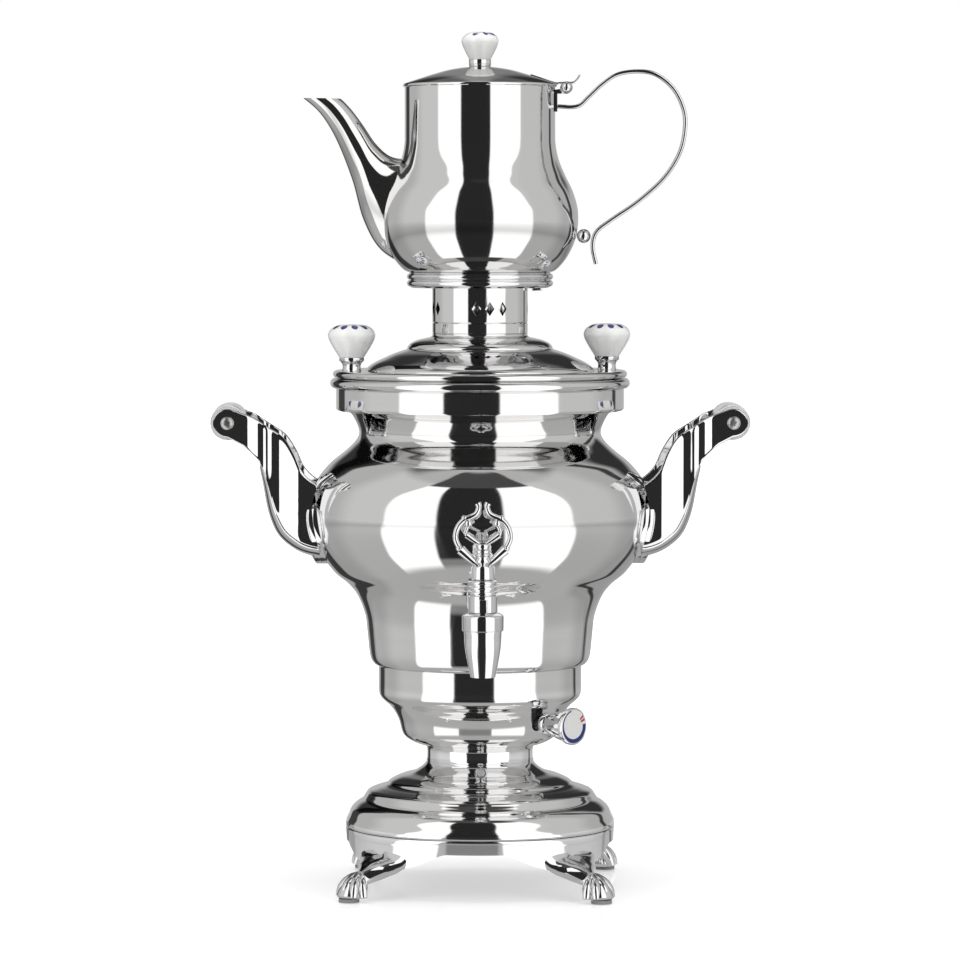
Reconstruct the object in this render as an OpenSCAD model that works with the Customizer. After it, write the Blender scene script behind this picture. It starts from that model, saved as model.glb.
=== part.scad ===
// Electric samovar with a teapot on its chimney. Millimetres, +Z up, front is -Y.
// The origin lies on the table, under the axis of the tank.

/* [Feet and base] */
// Height of the seam between the foot skirt and the base dome above the table
foot_h = 40.3; // [36:0.1:48]
// Radius of the foot skirt at the seam
skirt_r = 88.8; // [80:0.1:94]
// Distance of each foot pad from the axis
foot_r = 115.5; // [108:0.5:120]
// Diameter of a foot pad
pad_d = 13.5; // [10:0.5:16]
// Thickness of a foot pad
pad_t = 2.2; // [1.5:0.1:3]
// Angle by which the cast base is turned about the axis, seen from above
skirt_turn = -3; // [-10:0.5:10]
// Height of the base dome above the seam
dome_h = 43.7; // [40:0.1:50]
// Radius of the waist ring
waist_r = 35; // [32:0.5:38]
// Height of the waist ring
waist_h = 10; // [8:0.5:14]
// Thickness of the cast skirt
cast_t = 2; // [1.6:0.1:3]

/* [Tank and housing] */
// Thickness of the spun sheet
sheet_t = 1; // [0.8:0.1:1.4]
// Height of the lower housing
housing_h = 53; // [50:0.5:58]
// Radius of the lower housing at its upper band
housing_r = 67; // [64:0.5:70]
// Height of the tank from its lower rim to its mouth
tank_h = 169; // [160:1:180]
// Radius of the tank at its belly
belly_r = 113; // [108:0.5:118]
// Radius of the tank at its neck
neck_r = 79.9; // [76:0.5:84]
// Radius of the tank at its foot
tank_foot_r = 72.9; // [71:0.5:76]
// Height of the tank floor above the lower rim of the tank
floor_h = 36; // [32:0.5:40]
// Radius of the collar band at the mouth of the tank
collar_r = 94.9; // [92:0.5:98]
// Height of the collar band
collar_h = 14; // [10:0.5:18]
// Radius of the round bead of the collar
bead_r = 98.8; // [96:0.2:102]
// Height of the round bead of the collar
bead_h = 6.6; // [5:0.2:8]

/* [Lid and stand] */
// Radius of the bead of the lid
lid_r = 97; // [92:0.5:100]
// Height of the lid from the collar to the foot of its neck
lid_h = 29.1; // [27:0.1:34]
// Outer radius of the neck and the vent sleeve
sleeve_r = 31.4; // [28:0.2:34]
// Height of the plain foot of the neck
neck_foot_h = 7.4; // [5:0.2:12]
// Height of the vent sleeve
sleeve_h = 22.6; // [20:0.2:28]
// Running gap between the sleeve and the neck inside it
sleeve_gap = 0.3; // [0.2:0.05:0.5]
// Width of one vent
vent_w = 6.2; // [4:0.1:7]
// Height of one vent
vent_h = 9.4; // [6:0.1:12]
// Angle between two vents of a group
vent_step = 16.2; // [15:0.1:20]
// Angle of the middle vent of the front group, right of the front
vent_turn = 11; // [0:1:20]
// Radius of the teapot ring
ring_r = 48.2; // [44:0.2:52]
// Height of the teapot ring
ring_h = 10; // [8:0.5:12]
// Distance of the lid knobs from the axis
knob_pos = 86; // [82:0.5:89]
// Angle by which the lid knobs are turned from the right, seen from above
knob_turn = 11; // [0:1:20]
// Diameter of a lid knob
knob_d = 31; // [26:0.5:33]
// Height of a lid knob
knob_h = 21.6; // [18:0.1:26]
// Height of the ferrule under a lid knob
ferrule_h = 9; // [6:0.5:10]

/* [Side handles] */
// Distance of the grip from the axis
grip_x = 165.5; // [160:0.5:172]
// Height of the grip above the belly of the tank
grip_up = 63.5; // [60:0.5:68]
// Diameter of the grip
grip_d = 23.6; // [20:0.5:25]
// Depth of a handle over both cheeks
handle_d = 66; // [60:1:74]
// Thickness of a cheek
cheek_t = 5; // [4:0.2:6]
// Thickness of the curved pad under a handle
handle_pad_t = 3; // [2:0.2:4]
// Diameter of the handle bolts
bolt_d = 5; // [4:0.5:6]

/* [Tap] */
// Distance of the tap from the axis of the tank
tap_y = 134; // [133:0.5:138]
// Height of the water way of the tap above the tank floor
tap_up = 15; // [12:0.5:18]
// Diameter of the barrel of the tap
barrel_d = 18.6; // [18:0.2:20]
// Diameter of the plug at its upper end
plug_d = 12; // [11:0.2:12.6]
// Radial clearance of the plug in the barrel
plug_gap = 0.05; // [0.03:0.01:0.08]
// Bore of the water way
way_d = 6; // [5:0.2:6.6]
// Diameter of the shank through the tank wall
shank_d = 13; // [12:0.5:14]
// Width of the key
key_w = 38.4; // [34:0.2:42]
// Height of the key above its socket
key_h = 40; // [36:0.5:44]
// Height of the nozzle
nozzle_h = 39.4; // [36:0.2:44]

/* [Thermostat] */
// Angle of the thermostat knob, right of the front
dial_turn = 44; // [38:1:50]
// Height of the thermostat axis above the foot of the housing
dial_up = 18; // [17:0.5:20]
// Distance of the dial face from the axis of the tank
dial_pos = 87; // [84:0.5:92]
// Diameter of the dial face
dial_d = 24.2; // [22:0.2:27]
// Diameter of the thermostat shaft
shaft_d = 6; // [5:0.5:6.5]

/* [Teapot] */
// Height of the pot from its foot to its mouth
pot_h = 123.7; // [118:0.1:130]
// Radius of the pot at its belly
pot_r = 64.7; // [60:0.1:68]
// Radius of the straight neck of the pot
pot_neck_r = 49.5; // [46:0.1:52]
// Thickness of the sheet of the pot
pot_t = 0.9; // [0.7:0.1:1.2]
// Height of the lid cone of the pot
pot_lid_h = 11; // [8:0.5:14]
// Diameter of the knob of the pot
pot_knob_d = 24.4; // [20:0.2:28]
// Height of the knob of the pot
pot_knob_h = 18; // [15:0.5:22]
// Width of the strap of the handle
strap_w = 11; // [8:0.5:14]
// Thickness of the strap of the handle
strap_t = 2.2; // [1.8:0.1:3]
// Distance of the lid hinge from the axis of the pot
hinge_x = 56.8; // [56:0.1:58]
// Diameter of the hinge pin
pin_d = 2; // [1.6:0.1:2.4]

/* [Hidden] */
$fn = 96;
fit = 0.05;
seat = 0.3;

z_seam = foot_h;
z_waist = z_seam + dome_h;
z_house = z_waist + waist_h;
z_tank = z_house + housing_h;
z_floor = z_tank + floor_h;
z_mouth = z_tank + tank_h;
z_bead = z_mouth + collar_h;
z_lid = z_bead + bead_h + seat;
z_neck = z_lid + lid_h;
z_sleeve = z_neck + neck_foot_h;
z_ring = z_sleeve + sleeve_h;
z_pot = z_ring + ring_h - 2;
z_rim = z_pot + pot_h;

// Point at fraction t of the curve from b to c, with a before and d after them
function curve_point(a, b, c, d, t) = 0.5 * (2 * b + (c - a) * t
    + (2 * a - 5 * b + 4 * c - d) * t * t + (3 * b - a - 3 * c + d) * t * t * t);
// Smooth curve through the points p, with n steps from each to the next
function smooth(p, n) = [
    for (i = [0:len(p) - 2]) for (k = [0:n - 1])
        curve_point(p[max(i - 1, 0)], p[i], p[i + 1], p[min(i + 2, len(p) - 1)], k / n),
    p[len(p) - 1],
];
function reverse(p) = [for (i = [len(p) - 1:-1:0]) p[i]];
function mix(a, b, f) = a + (b - a) * f;
// Unit vector to the right of the path p at its point i
function right_of(p, i) =
    let (d = p[min(i + 1, len(p) - 1)] - p[max(i - 1, 0)]) [d[1], -d[0]] / norm(d);
// The path p moved to its right by w
function beside(p, w) = [for (i = [0:len(p) - 1]) p[i] + w * right_of(p, i)];
// Radius of the path p at the height z
function radius_at(p, z) = lookup(z, [for (q = p) [q[1], q[0]]]);
// The part of the path p between the heights a and b
function between(p, a, b) =
    [[radius_at(p, a), a], for (q = p) if (q[1] > a && q[1] < b) q, [radius_at(p, b), b]];

// Sheet of thickness w inside the upward path p, turned round the axis
module spun(p, w) {
    rotate_extrude() polygon(concat(p, reverse(beside(p, -w))));
}
// Closed skin over rings of points, which run anticlockwise seen from the last ring
module skin(rings) {
    n = len(rings[0]);
    m = len(rings) - 1;
    polyhedron([for (r = rings) each r], [
        [for (i = [0:n - 1]) i],
        for (k = [0:m - 1]) for (i = [0:n - 1]) let (a = k * n + i, b = k * n + (i + 1) % n)
            each [[a, a + n, b], [b, a + n, b + n]],
        [for (i = [n - 1:-1:0]) m * n + i],
    ]);
}
// Rings of an outline along the path p in the XZ plane; outline(k) gives [across, along Y]
function upright(p, outlines) = [
    for (k = [0:len(p) - 1]) let (n = right_of(p, k))
        [for (q = outlines[k]) [p[k][0] + n[0] * q[0], q[1], p[k][1] + n[1] * q[0]]],
];
function oval(a, b, n) = [for (i = [0:n - 1]) [a * cos(360 * i / n), b * sin(360 * i / n)]];
// Round bar along the path p in the XZ plane, with one radius for each point
module bar(p, radii, n = 10) {
    skin(upright(p, [for (r = radii) oval(r, r, n)]));
}
module along_x(x, y, z) { translate([x, y, z]) rotate([0, 90, 0]) children(); }
module along_y(x, y, z) { translate([x, y, z]) rotate([-90, 0, 0]) children(); }

// Outlines of the spun sheets, from the bottom up, as radius and height
dome_path = smooth([
    for (q = [[1, 0.02], [0.997, 0.09], [0.967, 0.176], [0.93, 0.275], [0.87, 0.345], [0.803, 0.40],
              [0.76, 0.474], [0.72, 0.535], [0.61, 0.585], [0.509, 0.627], [0.45, 0.69],
              [0.325, 0.76], [0.18, 0.81], [0.08, 0.88], [0.02, 0.95], [0, 1]])
        [mix(waist_r, skirt_r, q[0]), z_seam + dome_h * q[1]],
], 4);
house_foot_r = waist_r + 1.6;
house_path = smooth([
    for (q = [[0, 0], [0.16, 0.022], [0.326, 0.064], [0.45, 0.12], [0.51, 0.19], [0.566, 0.313],
              [0.66, 0.42], [0.77, 0.50], [0.90, 0.565], [0.975, 0.62], [1, 0.68], [1, 0.85], [1, 1.05]])
        [mix(house_foot_r, housing_r, q[0]), z_house + housing_h * q[1]],
], 4);
belly_z = z_tank + 97.5 / 169 * tank_h;
neck_z = z_tank + 155 / 169 * tank_h;
rim_r = housing_r + sheet_t + seat;
mouth_r = collar_r - 7.4;
tank_path = smooth([
    [rim_r, z_tank], [rim_r + 2.6, z_tank + 2], [tank_foot_r, z_tank + 7],
    [tank_foot_r + 1.4, z_tank + 20], [tank_foot_r + 3, z_tank + 33],
    [mix(tank_foot_r, belly_r, 0.2), mix(z_tank, belly_z, 0.472)],
    [mix(tank_foot_r, belly_r, 0.36), mix(z_tank, belly_z, 0.555)],
    [mix(tank_foot_r, belly_r, 0.60), mix(z_tank, belly_z, 0.64)],
    [mix(tank_foot_r, belly_r, 0.86), mix(z_tank, belly_z, 0.80)],
    [belly_r, belly_z],
    [mix(neck_r, belly_r, 0.90), mix(belly_z, neck_z, 0.36)],
    [mix(neck_r, belly_r, 0.62), mix(belly_z, neck_z, 0.60)],
    [mix(neck_r, belly_r, 0.25), mix(belly_z, neck_z, 0.78)],
    [mix(neck_r, belly_r, 0.05), mix(belly_z, neck_z, 0.90)],
    [neck_r, neck_z], [mix(neck_r, mouth_r, 0.45), mix(neck_z, z_mouth, 0.6)], [mouth_r, z_mouth],
], 5);

// Cast skirt with four claw feet
module foot_skirt() color("silver") rotate([0, 0, skirt_turn]) {
    low_z = z_seam - 22;
    difference() {
        spun([[skirt_r - 1.6, low_z], [skirt_r - 0.8, low_z + 2.5], [skirt_r - 0.2, low_z + 7],
              [skirt_r, low_z + 12], [skirt_r, z_seam - 0.2]], cast_t);
        for (a = [0:90:270]) rotate([0, 0, a])
            along_y(0, -skirt_r - 10, 0)
                linear_extrude(40) mirror([0, 1]) polygon(arch_outline());
    }
    difference() {
        translate([0, 0, z_seam - 3]) cylinder(r = skirt_r - cast_t + 0.5, h = 2.8);
        translate([0, 0, z_seam - 4]) cylinder(r = skirt_r - cast_t - 5, h = 5);
    }
    for (a = [45:90:315]) rotate([0, 0, a]) claw_foot();
}
// Lower edge of the skirt between two feet: flat in the middle, then down in an ogee
function arch_outline() =
    let (half = smooth([[20, z_seam - 9.1], [28, z_seam - 12.2], [36.3, z_seam - 16.4],
                        [44.7, z_seam - 19.3], [50, z_seam - 21.2], [58, z_seam - 23]], 4))
        concat([[-58, 0]], reverse([for (q = half) [-q[0], q[1]]]), half, [[58, 0]]);
module claw_foot() {
    ankle = [foot_r - 9, 15.5];
    leg = smooth([[skirt_r - 3.6, z_seam - 8.4], [skirt_r - 1.4, z_seam - 13.6], [skirt_r + 2.6, z_seam - 18.4],
                  [mix(skirt_r, ankle[0], 0.44), mix(z_seam - 18.4, ankle[1], 0.5)], ankle,
                  [ankle[0] + 4, ankle[1] - 3.5]], 3);
    widths = smooth([[2.4, 21], [3.4, 20], [4.6, 15.5], [4.8, 10], [4, 4.8], [4.2, 4.8]], 3);
    sags = smooth([[0, 0], [1.2, 0], [3, 0], [2.6, 0], [0.8, 0], [0, 0]], 3);
    skin(upright(leg, [for (k = [0:len(leg) - 1]) sagging(widths[k], sags[k][0], 20)]));
    for (fan = [-54, -18, 18, 54]) translate([ankle[0], 0, ankle[1]]) rotate([0, 0, fan])
        bar(smooth([[-2, 0], [5, -1.2], [11.6, -5], [15.6, -10.2]], 3),
            [for (k = [0:9]) 2.6 + 1.3 * sin(20 * k)], 10);
    translate([foot_r, 0, pad_t]) cylinder(d1 = pad_d + 2, d2 = 9, h = 9);
}
// Oval outline whose two sides hang down by sag
function sagging(w, sag, n) = [for (q = oval(w[0], w[1], n)) [q[0] + sag * pow(q[1] / w[1], 2), q[1]]];
module foot_pads() color("gainsboro")
    for (a = [45:90:315]) rotate([0, 0, skirt_turn + a]) translate([foot_r, 0, 0]) cylinder(d = pad_d, h = pad_t);

stud_d = 6;
cover_z = z_seam - 3 - 1.3;
module bottom_cover() color("lightgray") difference() {
    translate([0, 0, cover_z]) cylinder(r = skirt_r - cast_t - 1.5, h = 1.2);
    translate([0, 0, cover_z - 1]) cylinder(d = stud_d + 2 * fit, h = 4);
    for (a = [0:30:330]) rotate([0, 0, a]) translate([40, 0, cover_z - 1]) cylinder(d = 5, h = 4);
}
module base_dome() color("silver") difference() {
    union() {
        spun(dome_path, sheet_t);
        translate([0, 0, z_waist - sheet_t]) cylinder(r = waist_r, h = sheet_t);
        translate([0, 0, z_seam]) difference() {
            cylinder(r = skirt_r - 0.2, h = sheet_t);
            translate([0, 0, -1]) cylinder(r = skirt_r - 6, h = 4);
        }
    }
    translate([0, 0, z_waist - 3]) cylinder(d = stud_d + 2 * fit, h = 5);
    for (a = [120, 240]) rotate([0, 0, a]) translate([18, 0, z_waist - 3]) cylinder(d = 9, h = 5);
    lamp_frame() translate([0, 0, -9]) cylinder(d = lamp_d - 1.6 + 2 * fit, h = 12);
}
module waist_ring() color("silver") rotate_extrude() polygon(concat(
    [[waist_r - 3, z_waist], [waist_r + 0.6, z_waist]],
    smooth([[waist_r + 0.2, z_waist + 0.8], [waist_r, z_waist + 2], [waist_r, z_waist + waist_h - 3],
            [waist_r + 0.5, z_waist + waist_h - 1.4], [waist_r + 1.5, z_waist + waist_h]], 4),
    [[waist_r - 3, z_waist + waist_h]]));
module lower_housing() color("silver") difference() {
    union() {
        spun(house_path, sheet_t);
        translate([0, 0, z_house]) cylinder(r = house_foot_r, h = sheet_t);
    }
    translate([0, 0, z_house - 1]) cylinder(d = stud_d + 2 * fit, h = 5);
    for (a = [120, 240]) rotate([0, 0, a]) translate([18, 0, z_house - 1]) cylinder(d = 9, h = 5);
    dial_frame() along_x(34, 0, 0) cylinder(d = 11, h = 40);
    translate([0, 40, inlet_z]) rotate([-90, 0, 0])
        linear_extrude(40) square([inlet_w + 2 * fit, inlet_h + 2 * fit], center = true);
}

boss_d = 20;
way_z = z_floor + tap_up;
boss_in = radius_at(tank_path, way_z - boss_d / 2) - 2;
boss_out = radius_at(tank_path, way_z + boss_d / 2) + 2.5;
bolt_rows = [1, 15];
// Least radius of the tank under a bolt head at the height dz above the belly
function bolt_x(dz) = min([for (e = [-4.5, 4.5]) radius_at(tank_path, belly_z + dz + e)]);
module tank() color("silver") difference() {
    union() {
        spun(tank_path, sheet_t);
        along_y(0, -boss_out, way_z) cylinder(d = boss_d, h = boss_out - boss_in);
    }
    along_y(0, -boss_out - 1, way_z) cylinder(d = shank_d + 2 * fit, h = boss_out - boss_in + 2);
    for (s = [-1, 1]) for (dz = bolt_rows)
        along_x(s * belly_r, 0, belly_z + dz) cylinder(d = bolt_d + 2 * fit, h = 12, center = true);
}
floor_t = 1.2;
coil_r = 48;
coil_d = 8;
coil_z = z_floor + 16;
leg_turns = [70, 110];
module tank_floor() color("lightgray") difference() {
    translate([0, 0, z_floor - floor_t])
        cylinder(r = radius_at(tank_path, z_floor - floor_t) - sheet_t - fit, h = floor_t);
    for (a = leg_turns) rotate([0, 0, a])
        translate([coil_r, 0, z_floor - 3]) cylinder(d = 12 + 2 * fit, h = 6);
}
// Round band on the mouth of the tank: a flat collar under a bead
module rim_collar() color("silver") {
    in_r = mouth_r + 0.3;
    rotate_extrude() polygon(concat(
        [[mouth_r + fit, z_mouth - 1], [collar_r - 2, z_mouth - 1], [collar_r, z_mouth + 0.6],
         [collar_r, z_bead - 0.6], [bead_r - 2, z_bead]],
        [for (a = [-70:20:70]) [bead_r - bead_h / 2 + bead_h / 2 * cos(a),
                                z_bead + bead_h / 2 + bead_h / 2 * sin(a)]],
        [[bead_r - 4, z_bead + bead_h], [in_r, z_bead + bead_h], [in_r, z_bead + bead_h - 2],
         [collar_r - 1.2, z_bead + bead_h - 2], [collar_r - 1.2, z_mouth + fit],
         [mouth_r + fit, z_mouth + fit]]));
}
module hexagon(width, h) cylinder(d = width / cos(30), h = h, $fn = 6);
module heating_element() color("silver") {
    translate([0, 0, coil_z]) rotate_extrude() translate([coil_r, 0]) circle(d = coil_d);
    for (a = leg_turns) rotate([0, 0, a]) translate([coil_r, 0, 0]) {
        translate([0, 0, z_floor]) cylinder(d = coil_d - 0.6, h = coil_z - z_floor);
        translate([0, 0, z_floor]) cylinder(d = 17, h = 3);
        translate([0, 0, z_floor - 11]) cylinder(d = 12, h = 12);
        translate([0, 0, z_floor - 22]) cylinder(d = 3.2, h = 12);
    }
}
module element_nuts() color("goldenrod") for (a = leg_turns) rotate([0, 0, a])
    translate([coil_r, 0, z_floor - floor_t - 6]) difference() {
        hexagon(17, 6);
        translate([0, 0, -1]) cylinder(d = 12 + 2 * fit, h = 8);
    }
module centre_stud() color("silver") {
    translate([0, 0, cover_z - 9]) cylinder(d = stud_d, h = z_floor - floor_t - cover_z + 9);
    translate([0, 0, z_floor - floor_t - 3]) cylinder(d = 22, h = 3);
}
module stud_nut() color("silver") difference() {
    union() {
        translate([0, 0, cover_z - 1.8]) cylinder(d = 20, h = 1.8);
        translate([0, 0, cover_z - 7]) hexagon(10, 6);
    }
    translate([0, 0, cover_z - 8]) cylinder(d = stud_d + 2 * fit, h = 10);
}
module thermal_cutout() color("dimgray") rotate([0, 0, 200]) translate([28, 0, z_floor - floor_t]) {
    translate([0, 0, -2]) cylinder(d = 20, h = 2);
    translate([0, 0, -9]) cylinder(d = 15, h = 8);
    for (s = [-1, 1]) translate([-3, s * 4 - 0.4, -14]) cube([6, 0.8, 6]);
}
module terminal_block() color("ivory") difference() {
    translate([-34, -13, z_house + sheet_t]) cube([14, 26, 12]);
    for (y = [-8, 0, 8]) along_x(-35, y, z_house + 8) cylinder(d = 4, h = 16);
}

// Pilot lamp, on the front of the base dome and tilted up
lamp_d = 8.2;
module lamp_frame() translate([0, -waist_r - 7, z_waist - 6]) rotate([64, 0, 0]) children();
module pilot_lamp_body() color("silver") lamp_frame() difference() {
    union() {
        translate([0, 0, 2.2]) cylinder(d = lamp_d, h = 1.8);
        translate([0, 0, -8]) cylinder(d = lamp_d - 1.6, h = 11);
    }
    translate([0, 0, 1]) cylinder(d = lamp_d - 2.4 + 2 * fit, h = 4);
}
module pilot_lamp_lens() color("white") lamp_frame() rotate_extrude() polygon(concat(
    [[0, 1.2], [lamp_d / 2 - 1.2, 1.2]],
    [for (a = [0:15:90]) [(lamp_d / 2 - 1.2) * cos(a), 3.7 + 1.1 * sin(a)]]));

// Inlet socket at the rear of the housing
inlet_w = 28;
inlet_h = 20;
inlet_z = z_house + 18;
inlet_out = 66;
module power_inlet() color("dimgray") difference() {
    union() {
        translate([-inlet_w / 2, 36, inlet_z - inlet_h / 2]) cube([inlet_w, inlet_out - 36, inlet_h]);
        translate([-inlet_w / 2 - 3, 38, inlet_z - inlet_h / 2 - 1.5]) cube([inlet_w + 6, 3, inlet_h + 3]);
    }
    translate([-11, 46, inlet_z - 7]) cube([22, inlet_out, 14]);
    for (p = pin_places) translate([p[0], 30, inlet_z + p[1]]) pin_blade(fit, 30);
}
pin_places = [[-7, -2], [7, -2], [0, 2]];
module pin_blade(grow, long) translate([-1 - grow, 0, -2 - grow]) cube([2 + 2 * grow, long, 4 + 2 * grow]);
module inlet_pins() color("goldenrod")
    for (p = pin_places) translate([p[0], 31, inlet_z + p[1]]) pin_blade(0, 28);

// Side handles: a pad on the belly, a cast handle of two cheeks and a bowl, a grip between
grip_z = belly_z + grip_up;
hug_z = belly_z - 3.5;
hug_h = 27.2;
hug_w = 38;
flange_t = 3.5;
gasket_t = 1.2;
boss_r = 9.4;
rod_d = 5;
// Layer from a to b outside the tank wall, near the right-hand side
module hug(a, b) {
    wall = between(tank_path, hug_z - hug_h - 6, hug_z + hug_h + 6);
    rotate([0, 0, -24]) rotate_extrude(angle = 48)
        polygon(concat(beside(wall, b), reverse(beside(wall, a))));
}
module hug_oval(a, b) intersection() {
    hug(a, b);
    along_x(80, 0, hug_z) linear_extrude(60) polygon(oval(hug_h, hug_w, 64));
}
module bolt_holes(d) for (dz = bolt_rows)
    along_x(belly_r - 8, 0, belly_z + dz) cylinder(d = d, h = handle_pad_t + 16);
module handle_pad() color("silver") difference() {
    hug_oval(fit, handle_pad_t);
    bolt_holes(bolt_d + 2 * fit);
}
cheek_top = [[104, 21.5], [111, 26], [117, 32.5], [122, 43.5], [129, 54], [139, 60.8], [149, 67.4]];
cheek_low = [[grip_x - 10, 48.9], [148.7, 42.8], [143.4, 35.4], [139.6, 24], [136, 10.6], [132.6, 1.6],
             [127.6, -7.2], [119.6, -13.6], [111.3, -17.1], [102, -18.6]];
function lift(p) = [for (q = p) [q[0], q[1] + belly_z]];
module cheek_face() polygon(concat(
    smooth(lift(cheek_top), 4),
    [for (a = [105:-15:-90]) [grip_x + boss_r * cos(a), grip_z + boss_r * sin(a)]],
    smooth(lift(cheek_low), 4)));
// Bowl that joins the cheeks below, in two layers: how far each bellies out, and its inset
bowl_low = smooth(reverse(lift([for (i = [2:9]) cheek_low[i]])), 2);
bowl_layers = [[3.4, 5.2], [7.4, 12]];
module bowl_band(k) {
    last = len(bowl_low) - 1 - 2 * k;
    rim = [for (i = [0:last])
        bowl_low[i] + bowl_layers[k][0] * pow(cos(80 * i / last), 0.7) * right_of(bowl_low, i)];
    back = [for (i = [last:-1:0]) bowl_low[i] - (2.6 - 0.7 * k) * right_of(bowl_low, i)];
    polygon(concat(rim, back));
}
module handle() color("silver") difference() {
    union() {
        for (y = [cheek_t - handle_d / 2, handle_d / 2])
            translate([0, y, 0]) rotate([90, 0, 0]) linear_extrude(cheek_t) cheek_face();
        for (k = [0:1]) translate([0, handle_d / 2 - bowl_layers[k][1], 0]) rotate([90, 0, 0])
            linear_extrude(handle_d - 2 * bowl_layers[k][1]) bowl_band(k);
        hug_oval(handle_pad_t + fit, handle_pad_t + flange_t);
        for (dz = bolt_rows) along_x(belly_r + handle_pad_t + 1, 0, belly_z + dz)
            cylinder(d = 11, h = 9);
    }
    wall = between(tank_path, z_floor, neck_z);
    rotate([0, 0, 90]) rotate_extrude()
        polygon(concat([[0, z_floor]], beside(wall, handle_pad_t + fit), [[0, neck_z]]));
    bolt_holes(bolt_d + 2 * fit);
    along_y(grip_x, -handle_d, grip_z) cylinder(d = rod_d + 2 * fit, h = 2 * handle_d);
}
grip_l = handle_d - 2 * cheek_t - 0.3;
module grip() color("white") along_y(grip_x, 0, grip_z) rotate_extrude() polygon(concat(
    [[rod_d / 2 + fit, grip_l / 2], [rod_d / 2 + fit, -grip_l / 2]],
    smooth([[grip_d / 2 - 1.4, -grip_l / 2], [grip_d / 2 - 0.3, -grip_l / 2 + 2], [grip_d / 2, 0],
            [grip_d / 2 - 0.3, grip_l / 2 - 2], [grip_d / 2 - 1.4, grip_l / 2]], 4)));
module both_sides() { children(); mirror([1, 0, 0]) children(); }
module handle_pad_left() mirror([1, 0, 0]) handle_pad();
module handle_pad_right() handle_pad();
module handle_left() mirror([1, 0, 0]) handle();
module handle_right() handle();
module grip_left() mirror([1, 0, 0]) grip();
module grip_right() grip();
module grip_rods() color("silver") both_sides() {
    along_y(grip_x, -handle_d / 2 - 1, grip_z) cylinder(d = rod_d, h = handle_d + 2);
    for (s = [-1, 1]) translate([grip_x, s * (handle_d / 2 + 0.1), grip_z]) rotate([s * -90, 0, 0])
        rotate_extrude() polygon([[0, 0], [4.3, 0], [4.3, 1.2], [3.6, 2], [2, 2.4], [0, 2.5]]);
}
module handle_bolts() color("silver") both_sides() for (dz = bolt_rows) {
    head_x = bolt_x(dz) - sheet_t - gasket_t - seat - 3.2;
    along_x(head_x, 0, belly_z + dz) cylinder(d = bolt_d, h = belly_r + handle_pad_t + 7 - head_x);
    along_x(head_x, 0, belly_z + dz) cylinder(d = 9, h = 3.2);
}
module handle_gaskets() color("dimgray") both_sides() for (dz = bolt_rows) intersection() {
    hug(-sheet_t - gasket_t, -sheet_t - fit);
    along_x(belly_r - 20, 0, belly_z + dz) difference() {
        cylinder(d = 14, h = 30);
        translate([0, 0, -1]) cylinder(d = bolt_d + 2 * fit, h = 40);
    }
}

// Tap: its own heights are counted from the water way, up
module tap_frame() translate([0, -tap_y, way_z]) children();
taper_top = 2.7;
function plug_r(z) = plug_d / 2 - (taper_top - z) * 0.118;
barrel_top = 5.2;
barrel_low = -5.6;
spigot_d = 14;
shank_end = tap_y - boss_in + 7;
hex_at = tap_y - boss_out - 0.8;
module tap_body() color("silver") tap_frame() difference() {
    union() {
        translate([0, 0, barrel_low]) cylinder(d = barrel_d, h = barrel_top - barrel_low);
        translate([0, 0, -13.5]) cylinder(d = spigot_d, h = 10);
        translate([-2.8, -barrel_d / 2 - 1.4, barrel_low - 0.2]) cube([5.6, 4, 9]);
        along_y(0, 0, 0) cylinder(d = 10.2, h = 15);
        along_y(0, 14, 0) cylinder(d = shank_d, h = shank_end - 14);
        along_y(0, hex_at - 6, 0) hexagon(19, 6);
    }
    rotate_extrude() polygon([[0, -7.5], [plug_r(-7.5) + plug_gap, -7.5],
        [plug_r(taper_top) + plug_gap, taper_top], [spigot_d / 2 + fit, taper_top],
        [spigot_d / 2 + fit, 8], [0, 8]]);
    translate([0, 0, -15]) cylinder(d = way_d + 1, h = 9);
    along_y(0, 0, 0) cylinder(d = way_d, h = shank_end + 1);
}
module tap_gasket() color("dimgray") tap_frame() along_y(0, hex_at, 0) difference() {
    cylinder(d = boss_d, h = 0.8);
    translate([0, 0, -1]) cylinder(d = shank_d + 2 * fit, h = 3);
}
module tap_nut() color("silver") tap_frame() along_y(0, tap_y - boss_in, 0) difference() {
    hexagon(18, 5);
    translate([0, 0, -1]) cylinder(d = shank_d + 2 * fit, h = 8);
}
stem_d = 8;
gland_top = 15;
module tap_gland() color("silver") tap_frame() rotate_extrude() polygon(concat(
    [[stem_d / 2 + fit, taper_top + 0.2], [spigot_d / 2, taper_top + 0.2],
     [spigot_d / 2, barrel_top + 0.1], [8.2, barrel_top + 0.1]],
    [for (k = [0:2]) for (a = [-60:30:60]) [8 + 0.9 * cos(a), 7 + 3.2 * k + 1.3 * sin(a)]],
    [[7.4, gland_top], [stem_d / 2 + fit, gland_top]]));
module tap_nozzle() color("silver") tap_frame() {
    low = barrel_low - 1.8 - nozzle_h;
    rotate_extrude() polygon(concat(
        [[spigot_d / 2 + fit, barrel_low - 0.2], [9.6, barrel_low - 0.2], [12.5, barrel_low - 1.4],
         [13.3, barrel_low - 2.6], [13.3, barrel_low - 11.5], [12, barrel_low - 11.9]],
        smooth([[12, barrel_low - 12.6], [11.4, mix(barrel_low, low, 0.55)], [9.6, mix(barrel_low, low, 0.8)],
                [7.9, low]], 5),
        [[6.4, low], [5, low + 12], [5, -14], [spigot_d / 2 + fit, -14]]));
}
key_foot = gland_top + 0.3;
key_base = key_foot + 8.6;
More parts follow.
